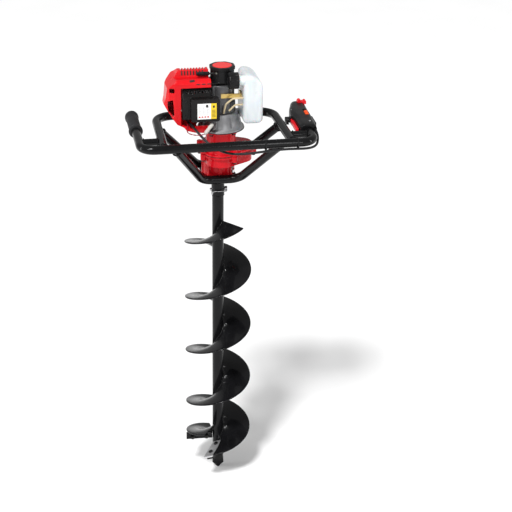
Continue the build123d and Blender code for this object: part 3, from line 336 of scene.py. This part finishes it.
# colour, darker colour, roughness, then grain, its depth and metallic where they are not the usual ones
CAST_GRAIN = (900.0, 900.0, 900.0)
GROUND_GRAIN = (80.0, 1200.0, 80.0)
METALS = {
    "cast_alloy": ((0.40, 0.40, 0.41), (0.27, 0.27, 0.28), (0.34, 0.52), CAST_GRAIN, 0.00008, 0.85),
    # case_alloy is a darker copy of the cast alloy: painted shade of the recess between the exhaust guard
    # and the tank, where the crankcase sits.
    "case_alloy": ((0.16, 0.16, 0.165), (0.09, 0.09, 0.095), (0.4, 0.56), CAST_GRAIN, 0.00008, 0.8),
    "blade_steel": ((0.62, 0.62, 0.63), (0.46, 0.46, 0.47), (0.3, 0.46), GROUND_GRAIN, 0.00003, 0.75),
    "carburettor_alloy": ((0.5, 0.5, 0.51), (0.36, 0.36, 0.36), (0.3, 0.45)),
    "zinc_yellow": ((0.70, 0.50, 0.16), (0.52, 0.40, 0.22), (0.25, 0.4)),
    "bolt_steel": ((0.55, 0.55, 0.56), (0.4, 0.4, 0.41), (0.24, 0.4)),
    "bearing_steel": ((0.6, 0.6, 0.61), (0.5, 0.5, 0.5), (0.15, 0.28)),
    "gear_steel": ((0.4, 0.4, 0.41), (0.3, 0.3, 0.3), (0.25, 0.4)),
    "rim_dark": ((0.05, 0.05, 0.052), (0.03, 0.03, 0.03), (0.35, 0.5)),
    "black_oxide": ((0.03, 0.03, 0.032), (0.05, 0.048, 0.045), (0.3, 0.45)),
    "muffler_steel": ((0.3, 0.27, 0.25), (0.2, 0.17, 0.15), (0.35, 0.55)),
    "clutch_lining": ((0.2, 0.17, 0.16), (0.14, 0.12, 0.11), (0.6, 0.8)),
}

SPECIAL = {
    "floor": make_floor,
    "bit_black": make_bit_black,
    "tank_plastic": make_tank_plastic,
    "decal_white": make_card,
}
made_finishes = {}


def finish_of(name):
    """Material of that name, built when it is first asked for."""
    if name not in made_finishes:
        if name in SPECIAL:
            nodes = SPECIAL[name]()
        elif name in PAINTS:
            nodes = paint(name, *PAINTS[name])
        elif name in MOULDINGS:
            nodes = moulded(name, *MOULDINGS[name])
        else:
            nodes = metal(name, *METALS[name])
        made_finishes[name] = nodes.material
    return made_finishes[name]


# ------------------------------------------------------------------ mesh helpers
slot_of = {row["node"]: row["material_slot"] for row in frame["record"]["subparts"]}
body_of = {node: body for body, nodes in frame["record"]["behaviour"]["bodies"].items() for node in nodes}


def shade(obj, angle=35.0):
    """Smooth shading, kept sharp over the given angle."""
    obj.data.shade_smooth()
    obj.data.set_sharp_from_angle(angle=math.radians(angle))


def place(name, mesh, finish, body, angle=35.0):
    """New piece from a mesh: material, shading, body and slot."""
    obj = bpy.data.objects.new(name, mesh)
    bpy.context.collection.objects.link(obj)
    obj.data.materials.clear()
    obj.data.materials.append(finish_of(finish))
    shade(obj, angle)
    if body:
        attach(obj, body)
    return obj


def from_bmesh(name, bm):
    mesh = bpy.data.meshes.new(name)
    bmesh.ops.recalc_face_normals(bm, faces=bm.faces)
    bm.to_mesh(mesh)
    bm.free()
    return mesh


def loops_mesh(bm, loops, joined=False):
    """Skin over rings of points. The ends are capped, or the last ring is joined to the first."""
    rows = [[bm.verts.new(p) for p in loop] for loop in loops]
    count = len(rows[0])
    pairs = list(zip(rows, rows[1:]))
    if joined:
        pairs.append((rows[-1], rows[0]))
    for lower, upper in pairs:
        for i in range(count):
            j = (i + 1) % count
            bm.faces.new((lower[i], lower[j], upper[j], upper[i]))
    if not joined:
        bm.faces.new(list(reversed(rows[0])))
        bm.faces.new(rows[-1])


def lathe(profile, centre=(0, 0, 0), segments=72, carve=None, turn=None, hollow=False):
    """Turned shape from (radius, height) points: solid, or hollow with a profile that closes on itself.

    carve changes the radius by height and angle, and turn tips the shape before it moves to centre.
    """
    bm = bmesh.new()
    loops = []
    for r, z in profile:
        loop = []
        for i in range(segments):
            a = 2 * math.pi * i / segments
            radius = r if carve is None else carve(r, z, a)
            loop.append(Vector((radius * math.cos(a), radius * math.sin(a), z)))
        loops.append(loop)
    loops_mesh(bm, loops, joined=hollow)
    move = Matrix.Translation(Vector(centre)) @ (turn or Matrix.Identity(4))
    bmesh.ops.transform(bm, matrix=move, verts=bm.verts)
    return bm


def merge(target, source):
    """Adds one bmesh to another."""
    mesh = bpy.data.meshes.new("merge")
    source.to_mesh(mesh)
    source.free()
    target.from_mesh(mesh)
    bpy.data.meshes.remove(mesh)
    return target


def frame_along(direction):
    """Rotation that turns +Z to a direction."""
    return Vector(direction).to_track_quat("Z", "Y").to_matrix().to_4x4()


def box_bmesh(size, bevel, matrix, segments=3):
    """Block with rounded edges."""
    bm = bmesh.new()
    bmesh.ops.create_cube(bm, size=1.0)
    bmesh.ops.transform(bm, matrix=Matrix.Diagonal((*size, 1.0)), verts=bm.verts)
    bmesh.ops.bevel(bm, geom=list(bm.edges), offset=bevel, segments=segments, profile=0.5, affect="EDGES")
    bmesh.ops.transform(bm, matrix=matrix, verts=bm.verts)
    return bm


def swept(points, radius, sides=12, twist=0.0, offset=0.0, phase=0.0):
    """Round rod along points, or one strand that winds round them when offset is set."""
    bm = bmesh.new()
    normal = None
    rings = []
    walked = 0.0
    for i, p in enumerate(points):
        before = points[max(i - 1, 0)]
        after = points[min(i + 1, len(points) - 1)]
        tangent = (after - before).normalized()
        if normal is None:
            normal = tangent.orthogonal().normalized()
        normal = (normal - tangent * normal.dot(tangent)).normalized()
        side = tangent.cross(normal)
        if i:
            walked += (p - points[i - 1]).length
        turn = phase + twist * walked
        centre = p + (normal * math.cos(turn) + side * math.sin(turn)) * offset
        ring = []
        for k in range(sides):
            a = 2 * math.pi * k / sides
            ring.append(centre + (normal * math.cos(a) + side * math.sin(a)) * radius)
        rings.append(ring)
    loops_mesh(bm, rings)
    return bm


def spline_points(points, name="route"):
    """Points of a smooth NURBS curve that has the given control points."""
    curve = bpy.data.curves.new(name, "CURVE")
    curve.dimensions = "3D"
    curve.resolution_u = 8
    spline = curve.splines.new("NURBS")
    spline.points.add(len(points) - 1)
    for target, p in zip(spline.points, points):
        target.co = (*p, 1.0)
    spline.order_u = 3
    spline.use_endpoint_u = True
    obj = bpy.data.objects.new(name, curve)
    bpy.context.collection.objects.link(obj)
    mesh = bpy.data.meshes.new_from_object(obj)
    line = [v.co.copy() for v in mesh.vertices]
    bpy.data.objects.remove(obj)
    bpy.data.curves.remove(curve)
    bpy.data.meshes.remove(mesh)
    return line


def cad_copy(node):
    """A copy of a CAD node's mesh, with its vertices welded."""
    bm = bmesh.new()
    bm.from_mesh(frame["nodes"][node].data)
    bmesh.ops.remove_doubles(bm, verts=bm.verts, dist=1e-6)
    return bm


def apply_modifiers(obj):
    """Turns what the modifiers show into the piece's own mesh."""
    bpy.context.view_layer.update()
    graph = bpy.context.evaluated_depsgraph_get()
    mesh = bpy.data.meshes.new_from_object(obj.evaluated_get(graph))
    obj.modifiers.clear()
    old = obj.data
    obj.data = mesh
    bpy.data.meshes.remove(old)


SOFT_ANGLE = 50.0


def soften(node, name, voxel, rounds, keep, finish=None):
    """Casting or moulding with blended corners, made from the CAD node's own form."""
    mesh = from_bmesh(name, cad_copy(node))
    obj = place(name, mesh, finish or slot_of[node], None, SOFT_ANGLE)
    remesh = obj.modifiers.new("remesh", "REMESH")
    remesh.mode = "VOXEL"
    remesh.voxel_size = voxel
    smooth = obj.modifiers.new("smooth", "SMOOTH")
    smooth.factor = 0.5
    smooth.iterations = rounds
    lean = obj.modifiers.new("lean", "DECIMATE")
    lean.ratio = keep
    apply_modifiers(obj)
    fit_in_box(obj, node)
    shade(obj, SOFT_ANGLE)
    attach(obj, body_of[node])
    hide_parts(node)
    return obj


def fit_in_box(obj, node):
    """Stretches a softened mesh back to the size of its CAD node, since smoothing shrinks it."""
    low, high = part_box(node)
    co = [v.co for v in obj.data.vertices]
    now_low = Vector(min(c[i] for c in co) for i in range(3))
    now_high = Vector(max(c[i] for c in co) for i in range(3))
    for v in obj.data.vertices:
        for i in range(3):
            share = (v.co[i] - now_low[i]) / (now_high[i] - now_low[i])
            v.co[i] = low[i] + share * (high[i] - low[i])


# ------------------------------------------------------------------ CAD nodes that stay
def dress_cad_nodes():
    """Gives every CAD node the material of its slot."""
    for node, obj in frame["nodes"].items():
        finish = finish_of(slot_of[node])
        if not obj.material_slots:
            obj.data.materials.append(finish)
        for material_slot in obj.material_slots:
            material_slot.material = finish


# ------------------------------------------------------------------ tube frame
def weld_ring(centre, direction, radius, bead, phase=0.0):
    """Lumpy weld bead round a joint between tubes."""
    turn = frame_along(direction)
    steps, sides = 96, 8
    rings = []
    for i in range(steps):
        a = 2 * math.pi * i / steps
        lumps = 0.08 * noise.noise(Vector((a * 3, phase, 0)))
        ripple = 1.0 + 0.16 * math.sin(a * 26 + phase) + lumps
        centre_r = radius + 0.0004 * math.sin(a * 5 + phase)
        ring = []
        for k in range(sides):
            b = 2 * math.pi * k / sides
            r = centre_r + bead * ripple * math.cos(b)
            z = bead * ripple * math.sin(b) * 0.8
            ring.append(turn @ Vector((r * math.cos(a), r * math.sin(a), z)) + centre)
        rings.append(ring)
    bm = bmesh.new()
    loops_mesh(bm, rings, joined=True)
    return bm


def make_welds():
    """Weld beads where the frame's tubes meet."""
    joints = [
        ("loop", 0.178, BAR_Y + TUBE_R, BAR_Z, (-0.02, 1, 0)),
        ("front", 0.142, BAR_Y + 0.009, BAR_Z - 0.010, (-0.53, 0.79, -0.85)),
        ("rear", 0.166, -0.035, BAR_Z - 0.010, (-0.62, 0.55, -0.75)),
    ]
    for side, tag in ((-1, "left"), (1, "right")):
        for joint, x, y, z, (dx, dy, dz) in joints:
            centre = Vector((side * x, y, z))
            bm = weld_ring(centre, (side * dx, dy, dz), TUBE_R + 0.0003, 0.0021, centre.x * 40)
            name = f"weld_{joint}_{tag}"
            place(name, from_bmesh(name, bm), "weld_black", "frame", 60)
        for end, x in (("loop", 0.190), ("bar", 0.2275)):
            centre = Vector((side * x, -0.133, BAR_Z))
            bm = weld_ring(centre, (1, 0, 0), BRACE_R + 0.0003, 0.0018, x * 70)
            name = f"weld_brace_{tag}_{end}"
            place(name, from_bmesh(name, bm), "weld_black", "frame", 60)


def make_cable_clips():
    """Plastic ties that hold the throttle cable to the front bar: flat bands round both."""
    tube, cable = Vector((BAR_Y, BAR_Z)), Vector((-0.2115, 1.1425))
    half_width, half_thickness, steps = 0.0020, 0.0004, 96
    round_tube, round_cable = TUBE_R + half_thickness, 0.0030
    for index, x in enumerate((0.190, 0.100)):
        rings = []
        for i in range(steps):
            a = 2 * math.pi * i / steps
            way = Vector((math.cos(a), math.sin(a)))
            if tube.dot(way) + round_tube >= cable.dot(way) + round_cable:
                centre = tube + way * round_tube
            else:
                centre = cable + way * round_cable
            ring = []
            for along, out in ((-1, -1), (1, -1), (1, 1), (-1, 1)):
                point = centre + way * half_thickness * out
                ring.append(Vector((x + half_width * along, point.x, point.y)))
            rings.append(ring)
        bm = bmesh.new()
        loops_mesh(bm, rings, joined=True)
        name = f"cable_tie_{index}"
        place(name, from_bmesh(name, bm), "black_plastic", "frame", 40)


# ------------------------------------------------------------------ bit
def helix_piece(name, z0, angle0, turn_deg, cut_front=None):
    """Helical plate with a rounded rim and faint dents; cut_front gives each radius its own start."""
    half, rim = 0.0019, 0.0012
    inner, edge = BIT_TUBE_R - 0.0004, FLIGHT_R - 0.0002 - rim
    steps_r = 14
    across = [inner + (edge - inner) * i / steps_r for i in range(steps_r + 1)]
    section = [(r, half) for r in across]
    for i in range(1, 6):
        a = math.pi / 2 - math.pi * i / 6
        section.append((edge + rim * math.cos(a), half * math.sin(a)))
    section += [(r, -half) for r in reversed(across)]
    bm = bmesh.new()
    rings = []
    count = int(turn_deg / 3)
    for i in range(count + 1):
        share = i / count
        ring = []
        for r, h in section:
            start = 0.0 if cut_front is None else cut_front(r)
            angle = math.radians(angle0 + start + (turn_deg - start) * share)
            climb = FLIGHT_PITCH * math.degrees(angle - math.radians(angle0)) / 360
            dent = 0.0005 * noise.noise(Vector((r * 30, angle * 1.7, 0.3)))
            ring.append(Vector((r * math.cos(angle), r * math.sin(angle), z0 + climb + h + dent)))
        rings.append(ring)
    loops_mesh(bm, rings)
    return from_bmesh(name, bm)


def weld_along_helix(name, z0, angle0, turn_deg, above):
    """Fillet weld between flight and tube, in short overlapping beads."""
    bm = bmesh.new()
    rings = []
    count = int(turn_deg / 2)
    beside_plate = 0.003 if above else -0.003
    for i in range(count + 1):
        angle = math.radians(angle0 + turn_deg * i / count)
        z = z0 + FLIGHT_PITCH * turn_deg * i / count / 360 + beside_plate
        size = 0.0021 * (1 + 0.18 * math.sin(angle * 60))
        ring = []
        for k in range(8):
            b = 2 * math.pi * k / 8
            r = BIT_TUBE_R + 0.0006 + size * math.cos(b)
            ring.append(Vector((r * math.cos(angle), r * math.sin(angle), z + size * math.sin(b))))
        rings.append(ring)
    loops_mesh(bm, rings)
    return from_bmesh(name, bm)


def make_flights():
    """Main flight, the short second flight at the tip and their welds to the tube."""
    blade_half = 0.0262

    def seat(r):
        """Angle by which the cutter's rear edge lags behind the flight's start."""
        return math.degrees(math.atan2(blade_half, r))

    mesh = helix_piece("main_flight_skin", FLIGHT_Z, FLIGHT_ANGLE, FLIGHT_TURN, seat)
    flight = place("main_flight_skin", mesh, "bit_black", "bit")
    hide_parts("main_flight")
    mesh = helix_piece("lower_flight_skin", LOWER_Z, LOWER_ANGLE, LOWER_TURN)
    lower = place("lower_flight_skin", mesh, "bit_black", "bit")
    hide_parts("lower_flight")
    runs = [
        ("flight_weld", FLIGHT_Z + 0.024, FLIGHT_ANGLE + 48, FLIGHT_TURN - 50),
        ("lower_weld", LOWER_Z + 0.001, LOWER_ANGLE + 2, LOWER_TURN - 4),
    ]
    for run, z0, angle0, turn_deg in runs:
        for above, tag in ((True, "upper"), (False, "under")):
            name = f"{run}_{tag}"
            mesh = weld_along_helix(name, z0, angle0, turn_deg, above)
            place(name, mesh, "weld_black", "bit", 60)


def make_bit_welds():
    """Weld rings on the bit's tube, under its collar and at the pilot point."""
    low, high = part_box("auger_tube")
    for name, z in (("collar_weld", high.z - 0.0535), ("point_weld", low.z + 0.0005)):
        bm = weld_ring(Vector((0, 0, z)), (0, 0, 1), BIT_TUBE_R + 0.0004, 0.0016)
        place(name, from_bmesh(name, bm), "weld_black", "bit", 60)


# ------------------------------------------------------------------ power head
def slot_shade_on(target, name, x, z, width, height, lean=0.0):
    """Dark block laid on the front of a moulding, square to its surface at (x, z): painted shade standing in
    for the inside of a slot.
    """
    hit, point, normal, _ = target.ray_cast(Vector((x, -0.30, z)), Vector((0.0, 1.0, 0.0)))
    if not hit or normal.y > -0.15:
        return
    turn = normal.to_track_quat("Y", "Z").to_matrix().to_4x4()
    matrix = Matrix.Translation(point) @ turn @ Matrix.Rotation(lean, 4, "Y")
    bm = box_bmesh((width, 0.0012, height), 0.0005, matrix)
    # The dark seal_rubber block is painted shade: the inside of the slot, not a rubber part.
    place(name, from_bmesh(name, bm), "seal_rubber", "frame")


def make_shroud_slots(shroud):
    """Painted shade of the upright slots under the top ribs, of three slots below the pull handle and of a
    recess, as dark blocks.
    """
    low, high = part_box("engine_shroud")
    rib_pitch = 0.0082
    for index in range(8):
        x = low.x + 0.0547 + rib_pitch * index
        slot_shade_on(shroud, f"shroud_vent_shade_{index}", x, high.z - 0.0075, 0.0036, 0.0125)
    for index in range(3):
        x = low.x + 0.093 + 0.015 * index
        slot_shade_on(shroud, f"shroud_slot_{index}", x, high.z - 0.025, 0.0105, 0.0028)
    slot_shade_on(shroud, "shroud_recess_shade", low.x + 0.077, high.z - 0.016, 0.014, 0.0065, 0.12)


def make_castings():
    """Castings and mouldings: CAD node, name, voxel size, rounds of smoothing, share of faces kept."""
    soften("gearbox_lower_housing", "lower_casting", 0.0011, 6, 0.6)
    soften("gearbox_upper_housing", "upper_casting", 0.0011, 6, 0.6)
    # The crankcase takes the darker case_alloy: painted shade of its recess between the exhaust guard and
    # the tank.
    soften("crankcase", "crankcase_casting", 0.0011, 3, 0.4, finish="case_alloy")
    shroud = soften("engine_shroud", "shroud_moulding", 0.0011, 6, 0.55)
    make_shroud_slots(shroud)
    soften("starter_housing", "starter_moulding", 0.0009, 3, 0.4)
    soften("throttle_grip", "throttle_moulding", 0.0009, 4, 0.4)
    soften("fuel_tank", "tank_moulding", 0.0011, 8, 0.5)
    soften("air_filter_cover", "filter_moulding", 0.0011, 3, 0.4)
    soften("muffler_guard", "guard_pressing", 0.0009, 2, 0.4)


def make_bell():
    """Flared fan housing: a turned shell with ribs, over a dark rim plate."""
    base = CRANK + Vector((0, 0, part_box("fan_housing")[0].z))
    outside = [
        (0.0360, 0.0002), (0.0640, 0.0002), (0.0655, 0.0008), (0.0660, 0.0022), (0.0655, 0.0038),
        (0.0625, 0.0058), (0.0600, 0.0080), (0.0575, 0.0112), (0.0553, 0.0155), (0.0537, 0.0205),
        (0.0525, 0.0250), (0.0515, 0.0315), (0.0508, 0.0365), (0.0495, 0.0430), (0.0485, 0.0468),
        (0.0470, 0.0486), (0.0182, 0.0486),
    ]
    inside = [
        (0.0182, 0.0452), (0.0450, 0.0452), (0.0475, 0.0350), (0.0490, 0.0250), (0.0510, 0.0150),
        (0.0540, 0.0075), (0.0360, 0.0052),
    ]
    bm = lathe(outside + inside, base, 96, hollow=True)
    lean = Matrix.Rotation(math.radians(-12), 4, "Y")
    for step in range(8):
        turn = Matrix.Rotation(math.radians(45 * step + 22.5), 4, "Z")
        spot = Matrix.Translation(base) @ turn @ Matrix.Translation((0.0525, 0, 0.025)) @ lean
        merge(bm, box_bmesh((0.010, 0.0026, 0.030), 0.0009, spot, 2))
    plate = [
        (0.0400, -0.0014), (0.0664, -0.0014), (0.0668, -0.0008), (0.0664, -0.0002), (0.0400, -0.0002),
    ]
    rim = lathe(plate, base, 96, hollow=True)
    place("bell_rim_plate", from_bmesh("bell_rim_plate", rim), "rim_dark", "frame")
    bell = place("bell_casting", from_bmesh("bell_casting", bm), "cast_alloy", "frame")
    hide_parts("fan_housing")


def make_cap():
    """Knurled filler cap with a domed face."""
    low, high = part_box("fuel_cap")
    centre_y, centre_z = (low.y + high.y) / 2, (low.z + high.z) / 2
    length, radius = high.x - low.x, (high.z - low.z) / 2

    def knurl(r, z, a):
        """Twenty grooves round the cap's side."""
        if 0.003 < z < length - 0.004 and r > radius * 0.9:
            return r - 0.0011 * max(0.0, math.cos(a * 20)) ** 3
        return r

    profile = [
        (0.0143, 0.0), (radius * 0.93, 0.0), (radius * 0.985, 0.0008), (radius, 0.003), (radius, 0.0035),
        (radius, length * 0.5), (radius, length - 0.0045), (radius, length - 0.004),
        (radius * 0.985, length - 0.002), (radius * 0.93, length - 0.0006), (radius * 0.84, length),
        (radius * 0.78, length - 0.0002), (radius * 0.74, length - 0.0016), (radius * 0.3, length - 0.0012),
        (0.0005, length - 0.001),
    ]
    turn = Matrix.Rotation(math.radians(-90), 4, "Y")
    bm = lathe(profile, (high.x, centre_y, centre_z), 160, knurl, turn)
    face = Matrix.Translation((low.x + 0.0022, centre_y, centre_z))
    merge(bm, box_bmesh((0.0024, radius * 1.35, 0.0045), 0.001, face))
    cap = place("filler_cap", from_bmesh("filler_cap", bm), "black_plastic", "fuel_cap", 40)
    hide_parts("fuel_cap")


def make_left_grip():
    """Soft rubber grip: end flange, diamond pattern along it and a swollen, dished free end."""
    mount = next(m for m in frame["record"]["mounts"] if m["name"] == "left_grip")
    direction = Vector(mount["axis"]).normalized()
    start = Vector(mount["pos_m"]) - direction * 0.0645
    radius = 0.0175
    waist_from, waist_to, waist_steps = 0.0095, 0.1005, 84

    def diamonds(r, z, a):
        """Shallow diamonds pressed into the waist."""
        if 0.012 < z < 0.100 and r > 0.016:
            depth = math.sin(a * 18 + z * 560) * math.sin(a * 18 - z * 560)
            return r - 0.0005 * max(0.0, depth)
        return r

    flange = [
        (0.0126, 0.0), (0.0189, 0.0), (0.0197, 0.0007), (0.01995, 0.0022), (0.01995, 0.006),
        (0.0194, 0.0077), (0.0180, 0.0085), (radius, 0.0092),
    ]
    waist = []
    for i in range(waist_steps + 1):
        waist.append((radius, waist_from + (waist_to - waist_from) * i / waist_steps))
    free_end = [
        (0.0182, 0.1035), (0.0191, 0.1065), (0.0196, 0.1105), (0.0196, 0.1165), (0.0191, 0.1205),
        (0.0178, 0.1236), (0.0158, 0.1253), (0.0128, 0.1259), (0.0105, 0.1252), (0.0001, 0.1248),
    ]
    bm = lathe(flange + waist + free_end, start, 108, diamonds, frame_along(direction))
    mesh = from_bmesh("left_grip_sleeve", bm)
    grip = place("left_grip_sleeve", mesh, "grip_rubber", "frame", 50)
    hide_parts("left_grip")


def make_cable():
    """Sheathed throttle cable along its fixed route, with a ferrule at the end of the route."""
    points = [
        (257, -114, 1164), (259, -138, 1158), (256, -163, 1147), (245, -191, 1140), (218, -210, 1140),
        (166, -212, 1143), (116, -211, 1141), (78, -208, 1136), (38, -204, 1132), (0, -194, 1131),
        (-34, -174, 1140), (-62, -150, 1160), (-84, -128, 1184), (-94, -96, 1190), (-97, -52, 1186),
        (-98, -8, 1188), (-96, 20, 1196), (-94.5, 28, 1212), (-94, 29, 1233.2),
    ]
    line = spline_points([Vector(p) / 1000 for p in points], "cable_route")
    bm = swept(line, CABLE_R, 20)
    cable = place("throttle_cable_sheath", from_bmesh("throttle_cable_sheath", bm), "cable_black", "frame")
    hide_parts("throttle_cable")
    profile = [(0.0036, 0.0), (0.0046, 0.0005), (0.0046, 0.009), (0.004, 0.010), (0.0036, 0.010)]
    ferrule = lathe(profile, line[-1] - Vector((0, 0, 0.0105)), 32)
    place("cable_ferrule", from_bmesh("cable_ferrule", ferrule), "bolt_steel", "frame")


def make_leads():
    """Two thin wires, twisted together, and their bullet connector."""
    points = [
        (-59, -135, 1171), (-64, -152, 1175), (-88, -156, 1176), (-109, -144, 1180), (-104, -124, 1190),
        (-102, -112.2, 1194),
    ]
    line = spline_points([Vector(p) / 1000 for p in points], "lead_route")
    bm = bmesh.new()
    for phase in (0.0, math.pi):
        merge(bm, swept(line, 0.0008, 10, twist=260.0, offset=0.0009, phase=phase))
    leads = place("stop_wires", from_bmesh("stop_wires", bm), "lead_red", "frame")
    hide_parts("stop_leads")
    plug, socket = Vector((-0.034, -0.121, 1.195)), Vector((-0.058, -0.134, 1.170))
    length = (socket - plug).length
    profile = [
        (0.0022, 0.0), (0.0048, 0.0006), (0.0053, 0.002), (0.0053, length * 0.42), (0.0046, length * 0.45),
        (0.0046, length * 0.52), (0.0053, length * 0.55), (0.0053, length - 0.006), (0.0040, length - 0.003),
        (0.0022, length),
    ]
    bm = lathe(profile, plug, 28, turn=frame_along(socket - plug))
    place("stop_connector", from_bmesh("stop_connector", bm), "lead_white", "frame")


def make_rope():
    """Twisted starter cord between the housing and the pull handle."""
    low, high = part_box("starter_rope")
    y, z = (low.y + high.y) / 2, (low.z + high.z) / 2
    steps, strands = 60, 3
    line = [Vector((high.x + (low.x - high.x) * i / steps, y, z)) for i in range(steps + 1)]
    bm = bmesh.new()
    for k in range(strands):
        phase = 2 * math.pi * k / strands
        merge(bm, swept(line, 0.00095, 8, twist=1100.0, offset=0.00078, phase=phase))
    rope = place("starter_cord", from_bmesh("starter_cord", bm), "rope_black", None)
    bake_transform(rope)
    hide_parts("starter_rope")


def make_handle():
    """Pull handle with finger waists and rounded ends."""
    low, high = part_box("pull_handle")
    y, z = (low.y + high.y) / 2, (low.z + high.z) / 2
    half_y, half_z = (high.y - low.y) / 2, (high.z - low.z) / 2
    steps, sides = 26, 32
    rings = []
    for i in range(steps + 1):
        t = i / steps
        x = low.x + (high.x - low.x) * t
        swell = 1.0 - 0.12 * math.sin(math.pi * 2 * t) ** 2
        edge = min(1.0, math.sqrt(max(0.02, 1 - (abs(t - 0.5) * 2) ** 9)))
        size = swell * edge
        ring = []
        for k in range(sides):
            a = 2 * math.pi * k / sides
            c, s = math.cos(a), math.sin(a)
            out_y = math.copysign(abs(c) ** 0.6, c)
            out_z = math.copysign(abs(s) ** 0.6, s)
            ring.append(Vector((x, y + half_y * size * out_y, z + half_z * size * out_z)))
        rings.append(ring)
    bm = bmesh.new()
    loops_mesh(bm, rings)
    mesh = from_bmesh("pull_handle_moulding", bm)
    handle = place("pull_handle_moulding", mesh, "black_plastic", "pull_handle", 60)
    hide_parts("pull_handle")


def make_decal():
    """Plain two-colour decal on the exhaust guard: panels and bars, no lettering."""
    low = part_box("muffler_guard")[0]
    x0, face_y, z0 = low.x + 0.0385, low.y - 0.0003, low.z + 0.0085
    width, height = 0.0530, 0.0445

    def panel(name, u0, u1, v0, v1, depth, finish):
        """Thin printed patch between shares u of the decal's width and v of its height."""
        size = ((u1 - u0) * width, 0.0002, (v1 - v0) * height)
        centre = (x0 + (u0 + u1) / 2 * width, face_y - depth, z0 + (v0 + v1) / 2 * height)
        bm = box_bmesh(size, 0.00008, Matrix.Translation(centre), 1)
        place(name, from_bmesh(name, bm), finish, "frame")

    panel("decal_card", 0.0, 0.70, 0.0, 1.0, 0.0, "decal_white")
    panel("decal_side", 0.70, 1.0, 0.0, 1.0, 0.0, "decal_yellow")
    for row in range(9):
        v = 0.30 + row * 0.062
        for column in range(3):
            u = 0.06 + column * 0.20
            length = 0.13 + 0.04 * math.sin(row * 2.3 + column * 1.7)
            panel(f"decal_bar_{row}_{column}", u, u + length, v, v + 0.022, 0.0002, "decal_grey")
    for column in range(4):
        u = 0.06 + column * 0.15
        panel(f"decal_dot_{column}", u, u + 0.09, 0.10, 0.19, 0.0002, "decal_red")
    panel("decal_sign", 0.44, 0.56, 0.76, 0.93, 0.0002, "decal_black")
    for row in range(6):
        v = 0.12 + row * 0.085
        panel(f"decal_note_{row}", 0.76, 0.94, v, v + 0.03, 0.0002, "decal_black")
    panel("decal_mark", 0.80, 0.90, 0.72, 0.86, 0.0002, "decal_black")


def screw(name, centre, direction, radius, finish):
    """Pan-head screw with a cross recess."""
    profile = [
        (radius, 0.0), (radius, radius * 0.25), (radius * 0.86, radius * 0.5), (radius * 0.5, radius * 0.62),
        (0.0001, radius * 0.64),
    ]
    bm = lathe(profile, (0, 0, 0), 32)
    top = Matrix.Translation((0, 0, radius * 0.62))
    for turn in (0.0, math.pi / 2):
        bar = top @ Matrix.Rotation(turn, 4, "Z")
        merge(bm, box_bmesh((radius * 1.1, radius * 0.2, radius * 0.12), radius * 0.03, bar, 1))
    move = Matrix.Translation(Vector(centre)) @ frame_along(direction)
    bmesh.ops.transform(bm, matrix=move, verts=bm.verts)
    place(name, from_bmesh(name, bm), finish, "frame")


def make_screws():
    """Screws of the throttle grip and of the exhaust guard."""
    low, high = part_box("throttle_grip")
    for index, (x, y) in enumerate(((0.055, 0.0254), (0.025, 0.1254), (0.061, 0.1724))):
        centre = (low.x + x, low.y + y, high.z - 0.0051)
        screw(f"grip_screw_{index}", centre, (0, 0, 1), 0.0032, "bolt_steel")
    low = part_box("muffler_guard")[0]
    shroud_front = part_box("engine_shroud")[0].y
    for index, height in enumerate((0.010, 0.053)):
        centre = (low.x + 0.010, shroud_front + 0.0014, low.z + height)
        screw(f"guard_screw_{index}", centre, (0, -1, 0), 0.0034, "black_oxide")


# ------------------------------------------------------------------ build
make_camera()
make_studio()
dress_cad_nodes()
make_welds()
make_cable_clips()
make_flights()
make_bit_welds()
make_castings()
make_bell()
make_cap()
make_left_grip()
make_cable()
make_leads()
make_rope()
make_handle()
make_decal()
make_screws()
